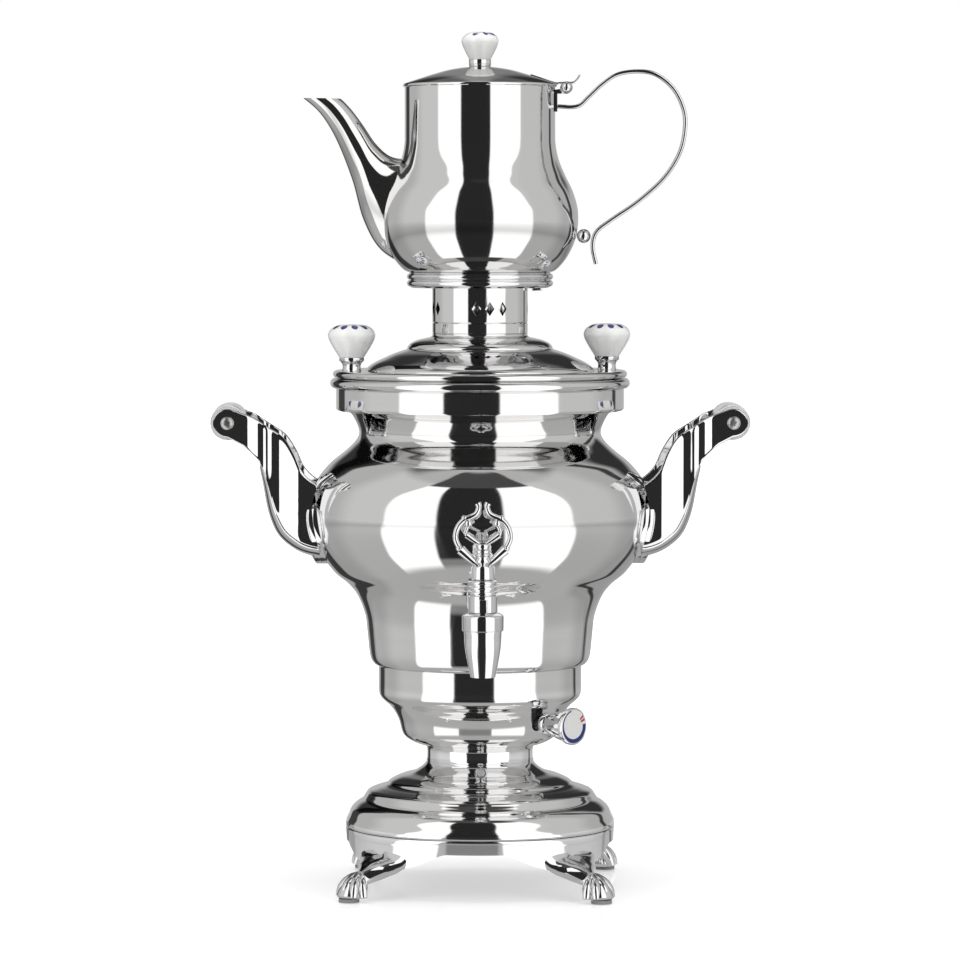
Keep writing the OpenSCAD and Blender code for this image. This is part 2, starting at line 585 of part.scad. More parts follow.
module tap_plug() color("goldenrod") tap_frame() difference() {
    rotate_extrude() polygon([[0, -7.3], [plug_r(-7.3), -7.3], [plug_r(taper_top - 0.1), taper_top - 0.1],
        [stem_d / 2, taper_top - 0.1], [stem_d / 2, key_base - 0.8], [0, key_base - 0.8]]);
    along_x(0, 0, 0) cylinder(d = way_d, h = plug_d);
    translate([0, 0, -9]) cylinder(d = way_d, h = 9);
}
module tap_key() color("silver") tap_frame() {
    difference() {
        translate([0, 0, key_foot]) cylinder(d = 15, h = key_base - key_foot);
        translate([0, 0, key_foot - 1]) cylinder(d = stem_d + 0.04, h = key_base - key_foot + 0.4);
    }
    sx = key_w / 38.4;
    sz = key_h / 40;
    translate([0, 0, key_base - 0.2]) {
        rotate_extrude() polygon(concat([[0, 0]], smooth([[4, 0], [5.4, 4], [4.2, 8], [4.4, 11], [2, 13.6],
            [0, 14.4]], 3)));
        for (s = [0, 1]) mirror([s, 0, 0]) {
            bar([for (q = smooth([[3, 0], [9, 4.6], [15, 9.5], [17.6, 15], [17, 23], [12.9, 29.2],
                [7, 31.6], [3.8, 33.6], [2.6, 38]], 2)) [q[0] * sx, q[1] * sz]],
                [for (k = [0:16]) 1.6 + 0.9 * exp(-pow((k - 4) / 2, 2))]);
            bar([for (q = smooth([[1.6, 12], [5.4, 15.4], [9.4, 19], [10.4, 23], [12, 28]], 2))
                [q[0] * sx, q[1] * sz]], [for (k = [0:8]) 1.3]);
            translate([11 * sx, 0, 26.4 * sz]) sphere(r = 2.6, $fn = 24);
            translate([2.3 * sx, 0, 38.2 * sz]) sphere(r = 1.8, $fn = 24);
        }
    }
}

// Thermostat: along X from the axis of the tank, turned to the front right
module dial_frame() rotate([0, 0, dial_turn - 90]) translate([0, 0, z_house + dial_up]) children();
plate_x = 30;
neck_end = housing_r - 7;
module thermostat_bracket() color("silver") rotate([0, 0, dial_turn - 90])
    translate([0, 0, z_house + sheet_t]) {
        translate([12, -11, 0]) cube([plate_x - 12, 22, 1.2]);
        translate([plate_x - 1.2, -11, 0]) cube([1.2, 22, dial_up + 12]);
    }
module thermostat_body() color("dimgray") dial_frame() difference() {
    union() {
        along_x(plate_x, 0, 0) cylinder(d = 28, h = 13);
        along_x(plate_x + 12, 0, 0) cylinder(d = 9, h = neck_end - plate_x - 12);
    }
    along_x(plate_x + 5, 0, 0) cylinder(d = shaft_d + 2 * fit, h = 60);
}
module thermostat_shaft() color("silver") dial_frame()
    along_x(plate_x + 5.5, 0, 0) cylinder(d = shaft_d, h = dial_pos - plate_x - 12);
module thermostat_knob() color("silver") dial_frame() difference() {
    along_x(0, 0, 0) rotate_extrude() polygon([
        [0, neck_end + 0.5], [6.8, neck_end + 0.5], [7.4, neck_end + 1.2], [7.4, neck_end + 4.6],
        [6.6, neck_end + 5.6], [6.6, neck_end + 6.2], [dial_d / 2 - 1.4, dial_pos - 4],
        [dial_d / 2, dial_pos - 3.2], [dial_d / 2, dial_pos - 0.6], [dial_d / 2 - 0.6, dial_pos],
        [dial_d / 2 - 1.1, dial_pos], [dial_d / 2 - 1.1, dial_pos - 1], [0, dial_pos - 1]]);
    along_x(neck_end, 0, 0) cylinder(d = shaft_d + 0.04, h = dial_pos - neck_end - 6);
}
module thermostat_dial() color("white") dial_frame()
    along_x(dial_pos - 1, 0, 0) cylinder(d = dial_d - 2.3, h = 0.8);

// Lid: heights are counted from its underside
bead_small = 2.35;
shoulder_z = 2 * bead_small;
function lid_outline() = concat(
    [[lid_skirt_r, -6], [lid_skirt_r, 0], [lid_r - bead_small, 0]],
    [for (a = [-70:20:70]) [lid_r - bead_small + bead_small * cos(a), bead_small + bead_small * sin(a)]],
    [[lid_r - bead_small, shoulder_z], [knob_pos - 8.6, shoulder_z]],
    smooth([for (q = [[1, 0], [0.995, 0.029], [0.957, 0.102], [0.866, 0.213], [0.73, 0.332], [0.57, 0.459],
                      [0.409, 0.557], [0.377, 0.586]]) lid_point(q)], 4),
    smooth([for (q = [[0.375, 0.6], [0.368, 0.643], [0.323, 0.734], [0.225, 0.816], [0.105, 0.869],
                      [0.027, 0.902], [0, 0.955], [0, 1]]) lid_point(q)], 3));
// Point of the dome at the fractions q between the neck and the foot of the dome, and of its height
function lid_point(q) = [mix(sleeve_r, knob_pos - 10.6, q[0]), mix(shoulder_z, lid_h, q[1])];
lid_skirt_r = mouth_r - 0.3;
module knob_places() for (a = [0, 180]) rotate([0, 0, knob_turn + a])
    translate([knob_pos, 0, z_lid + shoulder_z]) children();
knob_screw_d = 4;
module lid_shell() color("silver") difference() {
    translate([0, 0, z_lid]) spun(lid_outline(), sheet_t);
    knob_places() translate([0, 0, -2]) cylinder(d = knob_screw_d + 2 * fit, h = 4);
}
module vents() for (g = [0:90:270]) for (k = [-1:1])
    rotate([0, 0, -90 + vent_turn + g + k * vent_step])
        along_x(sleeve_r - 6, 0, z_sleeve + 0.4 * sleeve_h) linear_extrude(10)
            polygon([[vent_h / 2, 0], [0, vent_w / 2], [-vent_h / 2, 0], [0, -vent_w / 2]]);
module lid_neck() color("silver") difference() {
    in_r = sleeve_r - sheet_t - sleeve_gap;
    rotate_extrude() polygon([
        [in_r - sheet_t, z_neck - 4], [in_r, z_neck - 4], [in_r, z_neck + fit],
        [sleeve_r, z_neck + fit], [sleeve_r, z_sleeve - 0.2], [in_r, z_sleeve - 0.2],
        [in_r, z_ring - 0.3], [in_r - sheet_t, z_ring - 0.3]]);
    vents();
}
module lid_ferrules() color("silver") knob_places() rotate_extrude() polygon(concat(
    [[knob_screw_d / 2 + fit, ferrule_h], [knob_screw_d / 2 + fit, 0]],
    smooth([[6.5, 0], [6, 1.2], [5.9, 0.4 * ferrule_h], [6.4, 0.56 * ferrule_h], [7.7, ferrule_h - 2.5]], 3),
    [[8.1, ferrule_h - 2.2], [8.1, ferrule_h - 0.3], [7.9, ferrule_h]]));
// Porcelain knob of diameter d and height h on a foot of radius foot
module knob_shape(d, h, foot) rotate_extrude() polygon(concat(
    smooth([[foot, 0], [mix(foot, d / 2, 0.08), 0.05 * h], [mix(foot, d / 2, 0.34), 0.186 * h],
            [mix(foot, d / 2, 0.64), 0.356 * h], [mix(foot, d / 2, 0.9), 0.525 * h], [d / 2, 0.68 * h],
            [d * 0.458, 0.83 * h], [d * 0.368, 0.93 * h], [d * 0.26, 0.98 * h], [0, h]], 3),
    [[0, 0.6 * h], [knob_screw_d / 2 + fit, 0.6 * h], [knob_screw_d / 2 + fit, 0]]));
module lid_knobs() color("white") knob_places()
    translate([0, 0, ferrule_h + fit]) knob_shape(knob_d, knob_h, 8.2);
module lid_knob_screws() color("silver") knob_places() {
    translate([0, 0, -sheet_t - 2]) cylinder(d = 8, h = 2);
    translate([0, 0, -sheet_t - 1]) cylinder(d = knob_screw_d, h = sheet_t + 1 + ferrule_h + knob_h / 2);
}

// Teapot stand: a vented sleeve round the neck, with a beaded ring on top
module stand_sleeve() color("silver") difference() {
    spun([[sleeve_r, z_sleeve], [sleeve_r, z_ring]], sheet_t);
    vents();
}
pot_foot_r = ring_r - 3.4;
module stand_ring() color("silver") {
    rotate_extrude() polygon(concat(
        [[sleeve_r - 5, z_ring], [ring_r - 3, z_ring]],
        [for (k = [0.3, 0.74]) for (a = [-75:25:75])
            [ring_r - 2 + 2 * cos(a), z_ring + ring_h * (k + 0.21 * sin(a))]],
        [[ring_r - 1.6, z_ring + ring_h], [ring_r - 2.6, z_ring + ring_h - 0.9],
         [ring_r - 2.6, z_ring + ring_h - 2 - seat], [ring_r - 6, z_ring + ring_h - 2 - seat],
         [ring_r - 6, z_ring + ring_h - 3.5], [ring_r - 4, z_ring + ring_h - 3.5],
         [ring_r - 4, z_ring + 1.2], [sleeve_r - 5, z_ring + 1.2]]));
    translate([sleeve_r + 2.8, -5, z_ring - 2]) cube([6.7, 10, 2.6]);
}

// Teapot: heights are counted from its foot
pot_path = smooth([
    [pot_foot_r, 0], [pot_foot_r + 0.4, 1.6],
    [mix(pot_neck_r, pot_r, 0.04), 3.8], [mix(pot_neck_r, pot_r, 0.40), 9.6],
    [mix(pot_neck_r, pot_r, 0.66), 16], [mix(pot_neck_r, pot_r, 0.87), 23.4],
    [mix(pot_neck_r, pot_r, 0.97), 30.5], [pot_r, 38.5], [mix(pot_neck_r, pot_r, 0.95), 46],
    [mix(pot_neck_r, pot_r, 0.75), 56], [mix(pot_neck_r, pot_r, 0.43), 66],
    [mix(pot_neck_r, pot_r, 0.16), 76], [mix(pot_neck_r, pot_r, 0.02), 86],
    [pot_neck_r, 96], [pot_neck_r, pot_h],
], 4);
module pot_frame() translate([0, 0, z_pot]) children();
module pot_body() color("silver") pot_frame() difference() {
    union() {
        spun(pot_path, pot_t);
        cylinder(r = pot_foot_r, h = pot_t);
    }
    for (z = [22:8:54]) for (y = [-9, 0, 9]) along_x(-pot_r - 5, y, z) cylinder(d = 4.5, h = 20);
}
// Spout: each ring spans from its lower edge to its upper edge, seen from the side
spout_low = [[44, 4], [65, 16.6], [76.8, 36.6], [84.2, 63], [94.6, 89.4], [105, 106.4], [116.2, 116.6]];
spout_top = [[44, 76.4], [58, 78], [68, 86], [76.6, 98.4], [83.4, 107.6], [88.8, 113.6], [91.7, 116.2]];
spout_half = [17, 16, 14, 11.4, 9.6, 8.4, 7.8];
function spout_rings(t, tip, n) =
    let (a = smooth(spout_low, 3), b = smooth(spout_top, 3),
         w = smooth([for (v = spout_half) [v, 0]], 3), m = len(a) - 1)
    [for (k = [0:m]) let (c = (a[k] + b[k]) / 2, d = a[k] - b[k], h = d / 2 * (1 - 2 * t / norm(d)),
                          up = k == m ? tip : 0)
        [for (i = [0:n - 1]) let (q = c + h * cos(360 * i / n))
            [q[0], (w[k][0] - t) * sin(360 * i / n), q[1] + up]]];
module pot_spout() color("silver") pot_frame() mirror([1, 0, 0]) difference() {
    skin(spout_rings(0, 0, 24));
    skin(spout_rings(pot_t, 0.6, 24));
    rotate_extrude() polygon(concat([[0, -1]], beside(pot_path, fit), [[0, pot_h]]));
}
// Strap handle: from the hinge bracket out, over and down to the ball under the belly
strap_path = smooth([
    [pot_neck_r + 1.5 + fit, 111.2], [pot_neck_r + 14.5, 111.2], [pot_neck_r + 22, 117.4],
    for (q = [[15.3, 125.4], [25.3, 132], [38.3, 134.2], [50.8, 132.2], [62.3, 123.2], [69.1, 110],
              [70.3, 97], [66.7, 80.6], [56.3, 64], [39.3, 48.6], [21.8, 36.6], [11.9, 28.6],
              [9.5, 19], [11.7, 7.6]]) [pot_r + q[0], q[1]],
], 3);
function strap_section(w, t) = [[t / 2, -w / 2 + 1], [t / 2, w / 2 - 1], [t / 4, w / 2], [-t / 4, w / 2],
    [-t / 2, w / 2 - 1], [-t / 2, -w / 2 + 1], [-t / 4, -w / 2], [t / 4, -w / 2]];
module pot_handle() color("silver") pot_frame()
    skin(upright(strap_path, [for (q = strap_path) strap_section(strap_w, strap_t)]));
ball_r = 4.6;
ball_z = 26;
ball_x = radius_at(pot_path, ball_z) + 0.3 + ball_r;
module pot_handle_ball() color("silver") pot_frame() {
    translate([ball_x, 0, ball_z]) sphere(r = ball_r, $fn = 48);
}
hinge_z = pot_h - 0.2;
knuckle_d = 6;
module pot_hinge_bracket() color("silver") pot_frame() difference() {
    union() {
        rotate([0, 0, -7]) rotate_extrude(angle = 14)
            translate([pot_neck_r + fit, pot_h - 16]) square([1.4, 14.4]);
        translate([pot_neck_r + 1, -3.2, hinge_z - 4]) cube([hinge_x - pot_neck_r - 2.4, 6.4, 3]);
        along_y(hinge_x, -3.2, hinge_z) cylinder(d = knuckle_d, h = 6.4);
    }
    along_y(hinge_x, -10, hinge_z) cylinder(d = pin_d + 2 * fit, h = 20);
}
module pot_hinge_pin() color("silver") pot_frame() {
    along_y(hinge_x, -9, hinge_z) cylinder(d = pin_d, h = 18);
    for (s = [-1, 1]) translate([hinge_x, s * 9.4, hinge_z]) sphere(r = 3.9, $fn = 48);
}
// Pot lid: heights are counted from the mouth of the pot
module pot_lid_frame() translate([0, 0, z_rim]) children();
rim_out = pot_neck_r + 1.2;
lid_top_z = 2.3 + pot_lid_h;
pot_screw_d = 4;
module pot_lid() color("silver") pot_lid_frame() spun(concat(
    [[pot_neck_r - pot_t - 0.4, -4], [pot_neck_r - pot_t - 0.4, seat], [rim_out - 0.4, seat],
     [rim_out, seat + 1], [rim_out - 0.4, 2.3], [mix(rim_out, 8, 0.42), mix(2.3, lid_top_z, 0.5)]],
    smooth([[mix(rim_out, 8, 0.46), mix(2.3, lid_top_z, 0.55)], [mix(rim_out, 8, 0.70), mix(2.3, lid_top_z, 0.80)],
            [mix(rim_out, 8, 0.88), mix(2.3, lid_top_z, 0.94)], [8, lid_top_z], [5, lid_top_z],
            [pot_screw_d / 2 + fit, lid_top_z]], 3)), 0.8);
module pot_lid_lever() color("silver") pot_lid_frame() {
    plate = [[33.4, 2.3 + 0.5 * pot_lid_h + 0.15], [rim_out - 1, 2.75], [rim_out + 2, 3.1],
             [hinge_x + 3.6, 3.3], [hinge_x + 5.8, 4.7], [hinge_x + 8.2, 8.4]];
    translate([0, 4.5, 0]) rotate([90, 0, 0]) linear_extrude(9)
        polygon(concat(plate, reverse(beside(plate, -1.3))));
    for (y = [-5.3, 3.3]) difference() {
        union() {
            along_y(hinge_x, y, -0.2) cylinder(d = knuckle_d, h = 2);
            translate([hinge_x - 3, y, -0.2]) cube([6, 2, 4]);
        }
        along_y(hinge_x, y - 1, -0.2) cylinder(d = pin_d + 2 * fit, h = 4);
    }
}
module pot_lid_ferrule() color("silver") pot_lid_frame() translate([0, 0, lid_top_z + fit])
    rotate_extrude() polygon(concat([[pot_screw_d / 2 + fit, 5], [pot_screw_d / 2 + fit, 0]],
        [[6.7, 0], [7.2, 0.5], [7.3, 1.4], [7.05, 1.8], [7.3, 2.2], [7.3, 4.8], [7.1, 5]]));
module pot_lid_knob() color("white") pot_lid_frame()
    translate([0, 0, lid_top_z + 5 + 2 * fit]) knob_shape(pot_knob_d, pot_knob_h, 7.2);
module pot_lid_screw() color("silver") pot_lid_frame() {
    translate([0, 0, lid_top_z - 0.8 - 2 - fit]) cylinder(d = 8, h = 2);
    translate([0, 0, lid_top_z - 2]) cylinder(d = pot_screw_d, h = 7 + pot_knob_h / 2);
}

foot_skirt();
foot_pads();
bottom_cover();
base_dome();
waist_ring();
lower_housing();
tank();
tank_floor();
rim_collar();
heating_element();
element_nuts();
centre_stud();
stud_nut();
thermostat_body();
thermostat_bracket();
thermal_cutout();
terminal_block();
pilot_lamp_lens();
pilot_lamp_body();
power_inlet();
inlet_pins();
handle_pad_left();
handle_pad_right();
handle_left();
handle_right();
grip_left();
grip_right();
grip_rods();
handle_bolts();
handle_gaskets();
tap_body();
tap_gasket();
tap_nut();
tap_gland();
tap_nozzle();
tap_plug();
tap_key();
thermostat_shaft();
thermostat_knob();
thermostat_dial();
lid_shell();
lid_neck();
lid_ferrules();
lid_knobs();
lid_knob_screws();
stand_sleeve();
stand_ring();
pot_body();
pot_spout();
pot_handle();
pot_handle_ball();
pot_hinge_bracket();
pot_hinge_pin();
pot_lid();
pot_lid_lever();
pot_lid_ferrule();
pot_lid_knob();
pot_lid_screw();
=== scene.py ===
# Electric samovar with a teapot on its chimney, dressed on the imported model.
# It is put together from the feet up: base, housing, tank, handles, tap, dial, lid, stand, teapot.
import math
import bmesh
import bpy
from mathutils import Matrix, Vector


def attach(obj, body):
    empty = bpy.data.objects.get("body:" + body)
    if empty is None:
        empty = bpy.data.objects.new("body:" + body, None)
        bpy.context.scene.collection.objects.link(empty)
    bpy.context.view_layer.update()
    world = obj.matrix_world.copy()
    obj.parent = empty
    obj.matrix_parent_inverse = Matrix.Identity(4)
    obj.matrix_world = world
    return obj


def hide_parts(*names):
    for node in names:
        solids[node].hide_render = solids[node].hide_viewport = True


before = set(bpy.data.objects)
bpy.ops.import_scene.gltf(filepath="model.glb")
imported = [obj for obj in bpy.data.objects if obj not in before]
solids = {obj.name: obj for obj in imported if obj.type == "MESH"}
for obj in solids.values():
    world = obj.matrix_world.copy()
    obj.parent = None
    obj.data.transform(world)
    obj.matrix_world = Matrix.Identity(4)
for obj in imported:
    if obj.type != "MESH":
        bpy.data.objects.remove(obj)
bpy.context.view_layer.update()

# Studio: the camera stands 3.1 m in front, a little above the lid, with a long lens.
# Two upright soft boxes flank a black gap, with a wide soft box overhead and grey walls beside.
camera_away, camera_high = 3.1, 0.438
camera_turn, camera_down = math.radians(-0.8), math.radians(3.12)
camera = bpy.data.objects.new("camera", bpy.data.cameras.new("camera"))
bpy.context.collection.objects.link(camera)
bpy.context.scene.camera = camera
camera.data.lens = 176.2
camera.data.sensor_width = 36
camera.location = (camera_away * math.sin(camera_turn), -camera_away * math.cos(camera_turn), camera_high)
camera.rotation_euler = (math.pi / 2 - camera_down, 0, camera_turn)
bpy.context.scene.view_settings.view_transform = "Standard"


class Wire:
    """A shader socket that Python's operators work on."""

    def __init__(self, socket):
        self.socket = socket

    def node(self, kind, settings=(), sockets=(), out=0):
        tree = self.socket.id_data
        made = tree.nodes.new(kind)
        for key, value in dict(settings).items():
            setattr(made, key, value)
        for key, value in dict(sockets).items():
            if isinstance(value, Wire):
                tree.links.new(value.socket, made.inputs[key])
            else:
                made.inputs[key].default_value = value
        return Wire(made.outputs[out])

    def maths(self, operation, *others):
        return self.node("ShaderNodeMath", {"operation": operation}, dict(enumerate((self, *others))))

    def __add__(self, other): return self.maths("ADD", other)
    def __radd__(self, other): return self.maths("ADD", other)
    def __sub__(self, other): return self.maths("SUBTRACT", other)
    def __mul__(self, other): return self.maths("MULTIPLY", other)
    def __rmul__(self, other): return self.maths("MULTIPLY", other)
    def __truediv__(self, other): return self.maths("DIVIDE", other)
    def __pow__(self, other): return self.maths("POWER", other)

    def __rsub__(self, other):
        return self.node("ShaderNodeMath", {"operation": "SUBTRACT"}, {0: other, 1: self})

    def rise(self, low, high):
        """From 0 at low to 1 at high, with soft ends."""
        return self.node("ShaderNodeMapRange", {"interpolation_type": "SMOOTHSTEP"},
                         {"Value": self, "From Min": low, "From Max": high})

    def within(self, low, high, soft):
        return self.rise(low - soft, low + soft) * (1 - self.rise(high - soft, high + soft))

    def parts(self):
        split = self.node("ShaderNodeSeparateXYZ", (), {0: self}).socket.node
        return [Wire(out) for out in split.outputs]


studio = bpy.data.worlds.new("studio")
bpy.context.scene.world = studio
studio.use_nodes = True
studio_tree = studio.node_tree
studio_tree.nodes.clear()
look = Wire(studio_tree.nodes.new("ShaderNodeTexCoord").outputs["Generated"])
look_x, look_y, look_z = look.parts()
side = look_x.maths("ARCTAN2", -1 * look_y) * (180 / math.pi)
up = look_z.maths("ARCSINE") * (180 / math.pi)


def studio_sides(side, wall_tone, spread=1):
    """Brightness round the studio at that angle from the front: boxes, gap, grey walls, black flags."""
    wide, away = side * spread, side.maths("ABSOLUTE")
    left_box = wide.rise(-69.2, -66.8) * (1 - side.rise(-31.2, -28.8))
    right_box = side.rise(13.8, 16.2) * (1 - wide.rise(62.8, 65.2))
    flags = side.within(-157, -139, 1.5) + side.within(131, 138, 1.5)
    past_boxes = (wide + 2).maths("ABSOLUTE").rise(65, 67)
    walls = wall_tone * past_boxes * (1 - 0.06 * side.rise(60, 70)) * (1 - 0.24 * away.rise(95, 120))
    return left_box + right_box + walls * (1 - 0.94 * flags) + 0.018


def ray_kinds(tree, *kinds):
    """For each kind of ray, a wire that is 1 where such a ray looks."""
    path = tree.nodes.new("ShaderNodeLightPath")
    return [Wire(path.outputs[f"Is {kind} Ray"]) for kind in kinds]


# In a mirror the boxes are brighter than white. Above them is a dim ceiling with a dark gap in its middle.
mirror_gain = 1.28
away = side.maths("ABSOLUTE")
spread = 1 + 0.32 * up.maths("ABSOLUTE").rise(12, 66)
front = (side * spread).within(-68, 64, 2)
low = 1 - front * up.rise(54, 57)
behind = away.rise(138, 148) * (1 - 0.45 * away.rise(168, 176))
ceiling = 0.13 + 0.28 * (1 - away.rise(80, 110)).maths("MAXIMUM", up.rise(76, 84))
ceiling = ceiling * (1 - 0.86 * side.within(-52, 48, 3) * (1 - up.rise(80, 86)))
ceiling = ceiling + 0.40 * away.rise(152, 164) * up.rise(38, 52)
wall_top = 1 - (1 - front) * up.rise(58, 66)
walls_dimmed = 1 - behind * (0.93 * up.rise(8, 18) - 0.20 * up.rise(36, 44))
glow = studio_sides(side, 0.51, spread) * walls_dimmed * low * wall_top + ceiling * (1 - low * wall_top)
seen, in_mirror, through = ray_kinds(studio_tree, "Camera", "Glossy", "Transmission")
plain = 0.72 * (1 - seen) * (1 - in_mirror) + seen.maths("MAXIMUM", through)
plain = plain + mirror_gain * glow * in_mirror * (1 - through)
sky = studio_tree.nodes.new("ShaderNodeBackground")
studio_tree.links.new(plain.socket, sky.inputs["Strength"])
sky.inputs["Color"].default_value = (1, 1, 1, 1)
studio_tree.links.new(sky.outputs[0], studio_tree.nodes.new("ShaderNodeOutputWorld").inputs[0])

for lamp_name, lamp_place, lamp_size, lamp_power in (
        ("box_left", (-1.6, -1.5, 1.0), 0.9, 9), ("box_right", (1.5, -1.6, 0.9), 0.9, 8),
        ("box_top", (0.1, -0.2, 2.2), 1.4, 16)):
    lamp = bpy.data.objects.new(lamp_name, bpy.data.lights.new(lamp_name, "AREA"))
    bpy.context.collection.objects.link(lamp)
    lamp.data.size = lamp_size
    lamp.data.energy = lamp_power
    lamp.location = lamp_place
    lamp.rotation_euler = (Vector((0, 0, 0.25)) - lamp.location).to_track_quat("-Z", "Y").to_euler()
    lamp.visible_camera = False
    lamp.visible_glossy = False


def new_material(name):
    """A material with one Principled shader, and the wire that starts from Object coordinates."""
    material = bpy.data.materials.new(name)
    material.use_nodes = True
    tree = material.node_tree
    shader = tree.nodes["Principled BSDF"]
    place = Wire(tree.nodes.new("ShaderNodeTexCoord").outputs["Object"])
    return material, shader, place


def feed(shader, **sockets):
    """Sets or links the shader's sockets, named with _ for a space."""
    for key, value in sockets.items():
        socket = shader.inputs[key.replace("_", " ")]
        if isinstance(value, Wire):
            shader.id_data.links.new(value.socket, socket)
        else:
            socket.default_value = value


def grain(place, size, detail=3.0, rough=0.5, stretch=(1, 1, 1)):
    """Cloudy noise in lumps of that size in metres, from 0 to 1."""
    held = place.node("ShaderNodeVectorMath", {"operation": "MULTIPLY"}, {0: place, 1: stretch})
    return place.node("ShaderNodeTexNoise", (), {"Vector": held, "Scale": 1 / size, "Detail": detail,
                                                 "Roughness": rough})


def grey(tone):
    return tone.node("ShaderNodeCombineColor", (), {0: tone, 1: tone, 2: tone})


# The floor is pale where it is seen. In a mirror it shows the studio's light from where it lies, except near
# the axis, where a flat grey is painted shade for the samovar's shadow on it.
floor_paint, floor_shader, floor_place = new_material("floor_paint")
floor_x, floor_y = floor_place.parts()[:2]
floor_side = floor_x.maths("ARCTAN2", -1 * floor_y) * (180 / math.pi)
floor_seen, floor_mirrored = ray_kinds(floor_paint.node_tree, "Camera", "Glossy")
floor_off = floor_x * floor_x + floor_y * floor_y
# Painted shade: in a mirror the floor within about 0.2 m of the axis is a flat grey that stands in for the
# samovar's shadow.
floor_shaded_grey = 0.47
floor_far = floor_off.rise(0.17 ** 2, 0.22 ** 2)
floor_away = 0.34 + 0.6 * floor_off.rise(0.3 ** 2, 1.2 ** 2)
floor_gap = 0.24 * floor_side.within(-30, 15, 1.2) * (1 - floor_off.rise(0.24 ** 2, 0.28 ** 2))
floor_lit = mirror_gain * studio_sides(floor_side, 0.36) * (1 - 0.5 * floor_off.rise(0.5 ** 2, 3))
floor_mirror = floor_shaded_grey * (1 - floor_far) + (floor_gap + floor_lit) * floor_far
feed(floor_shader, Base_Color=grey(0.93 * (1 - floor_mirrored)), Specular_IOR_Level=0.18,
     Roughness=0.10 + 0.04 * grain(floor_place, 0.4), Emission_Strength=1.0,
     Emission_Color=grey(floor_away * floor_seen + floor_mirrored * floor_mirror))
bpy.ops.mesh.primitive_plane_add(size=16, location=(0, 0, -0.0004))
floor = bpy.context.object
floor.name = "floor"
floor.data.materials.append(floor_paint)

# Foot skirt: a cast and chromed ring with four ogee arches between the claw feet.
# The ring's lower edge follows the arches; each leg grows out of a corner of the ring.
MM = 0.001


def on_curve(points, steps):
    """The points of a smooth curve through the points, with that many steps between two."""
    found = []
    last = len(points) - 1
    for k in range(last):
        a, b = points[max(k - 1, 0)], points[k]
        c, d = points[k + 1], points[min(k + 2, last)]
        for step in range(steps):
            t = step / steps
            found.append(tuple(0.5 * (2 * q + (r - p) * t + (2 * p - 5 * q + 4 * r - s) * t * t
                                      + (3 * q - p - 3 * r + s) * t ** 3) for p, q, r, s in zip(a, b, c, d)))
    return found + [tuple(points[last])]


def nothing_selected():
    if bpy.context.object and bpy.context.object.mode != "OBJECT":
        bpy.ops.object.mode_set(mode="OBJECT")
    bpy.ops.object.select_all(action="DESELECT")


def chosen(pieces):
    """Selects these pieces alone, with the first one active."""
    nothing_selected()
    for piece in pieces:
        piece.select_set(True)
    bpy.context.view_layer.objects.active = pieces[0]


def drawn_chain(name, points):
    """A chain of edges through the points, extruded one by one from a corner of a plane."""
    nothing_selected()
    bpy.ops.mesh.primitive_plane_add(size=0.001, location=(0, 0, 0))
    piece = bpy.context.object
    piece.name = piece.data.name = name
    bpy.ops.object.mode_set(mode="EDIT")
    bpy.ops.mesh.select_mode(type="VERT")
    shape = bmesh.from_edit_mesh(piece.data)
    shape.verts.ensure_lookup_table()
    for vert in shape.verts:
        vert.select = vert.index != 0
    bpy.ops.mesh.delete(type="VERT")
    shape = bmesh.from_edit_mesh(piece.data)
    shape.verts.ensure_lookup_table()
    shape.verts[0].co = points[0]
    shape.verts[0].select = True
    shape.select_flush_mode()
    for before, point in zip(points, points[1:]):
        bpy.ops.mesh.extrude_region_move(TRANSFORM_OT_translate={"value": Vector(point) - Vector(before)})
    return piece


def finished(piece, paint, sharp=32):
    """Back in object mode, with its material and its crisp edges."""
    if piece.mode != "OBJECT":
        bpy.ops.object.mode_set(mode="OBJECT")
    chosen([piece])
    bpy.ops.object.shade_smooth_by_angle(angle=math.radians(sharp))
    piece.data.materials.clear()
    piece.data.materials.append(paint)
    return piece


def turned(name, outline, paint, steps=128, place=Matrix(), sharp=32):
    """A piece turned on the lathe, from an outline of radius and height in mm, open at the axis or closed."""
    loop = list(outline)
    if loop[0][0] or loop[-1][0]:
        loop.append(loop[0])
    piece = drawn_chain(name, [(r * MM, 0, z * MM) for r, z in loop])
    bpy.ops.mesh.select_all(action="SELECT")
    bpy.ops.mesh.spin(steps=steps, angle=2 * math.pi, center=(0, 0, 0), axis=(0, 0, 1))
    bpy.ops.mesh.select_all(action="SELECT")
    bpy.ops.mesh.remove_doubles(threshold=0.000004)
    bpy.ops.mesh.normals_make_consistent(inside=False)
    finished(piece, paint, sharp)
    piece.data.transform(place)
    return piece


def aside(path, k):
    """The unit step to the right of the way that the path runs at its point k."""
    (a_r, a_z), (b_r, b_z) = path[max(k - 1, 0)], path[min(k + 1, len(path) - 1)]
    long = math.hypot(b_r - a_r, b_z - a_z)
    return (b_z - a_z) / long, (a_r - b_r) / long


def beside(path, gap):
    """The path moved by gap to its right, as a spun sheet's inner face is."""
    moved = []
    for k, (r, z) in enumerate(path):
        right_r, right_z = aside(path, k)
        moved.append((r + gap * right_r, z + gap * right_z))
    return moved


def sheet_of(path, thick):
    """Closed outline of a spun sheet inside an upward path."""
    return list(path) + beside(path, -thick)[::-1]


def between(a, b, share):
    return a + (b - a) * share


def smoothed(values, steps):
    """The numbers on a smooth curve through the values."""
    return [value for value, _ in on_curve([(value, 0) for value in values], steps)]


def round_turn(count):
    """The angles of a whole turn in that many steps."""
    return [2 * math.pi * i / count for i in range(count)]


def at(x, y, z):
    """The move to that place in mm."""
    return Matrix.Translation((x * MM, y * MM, z * MM))


def about(degrees, axis="Z"):
    return Matrix.Rotation(math.radians(degrees), 4, axis)


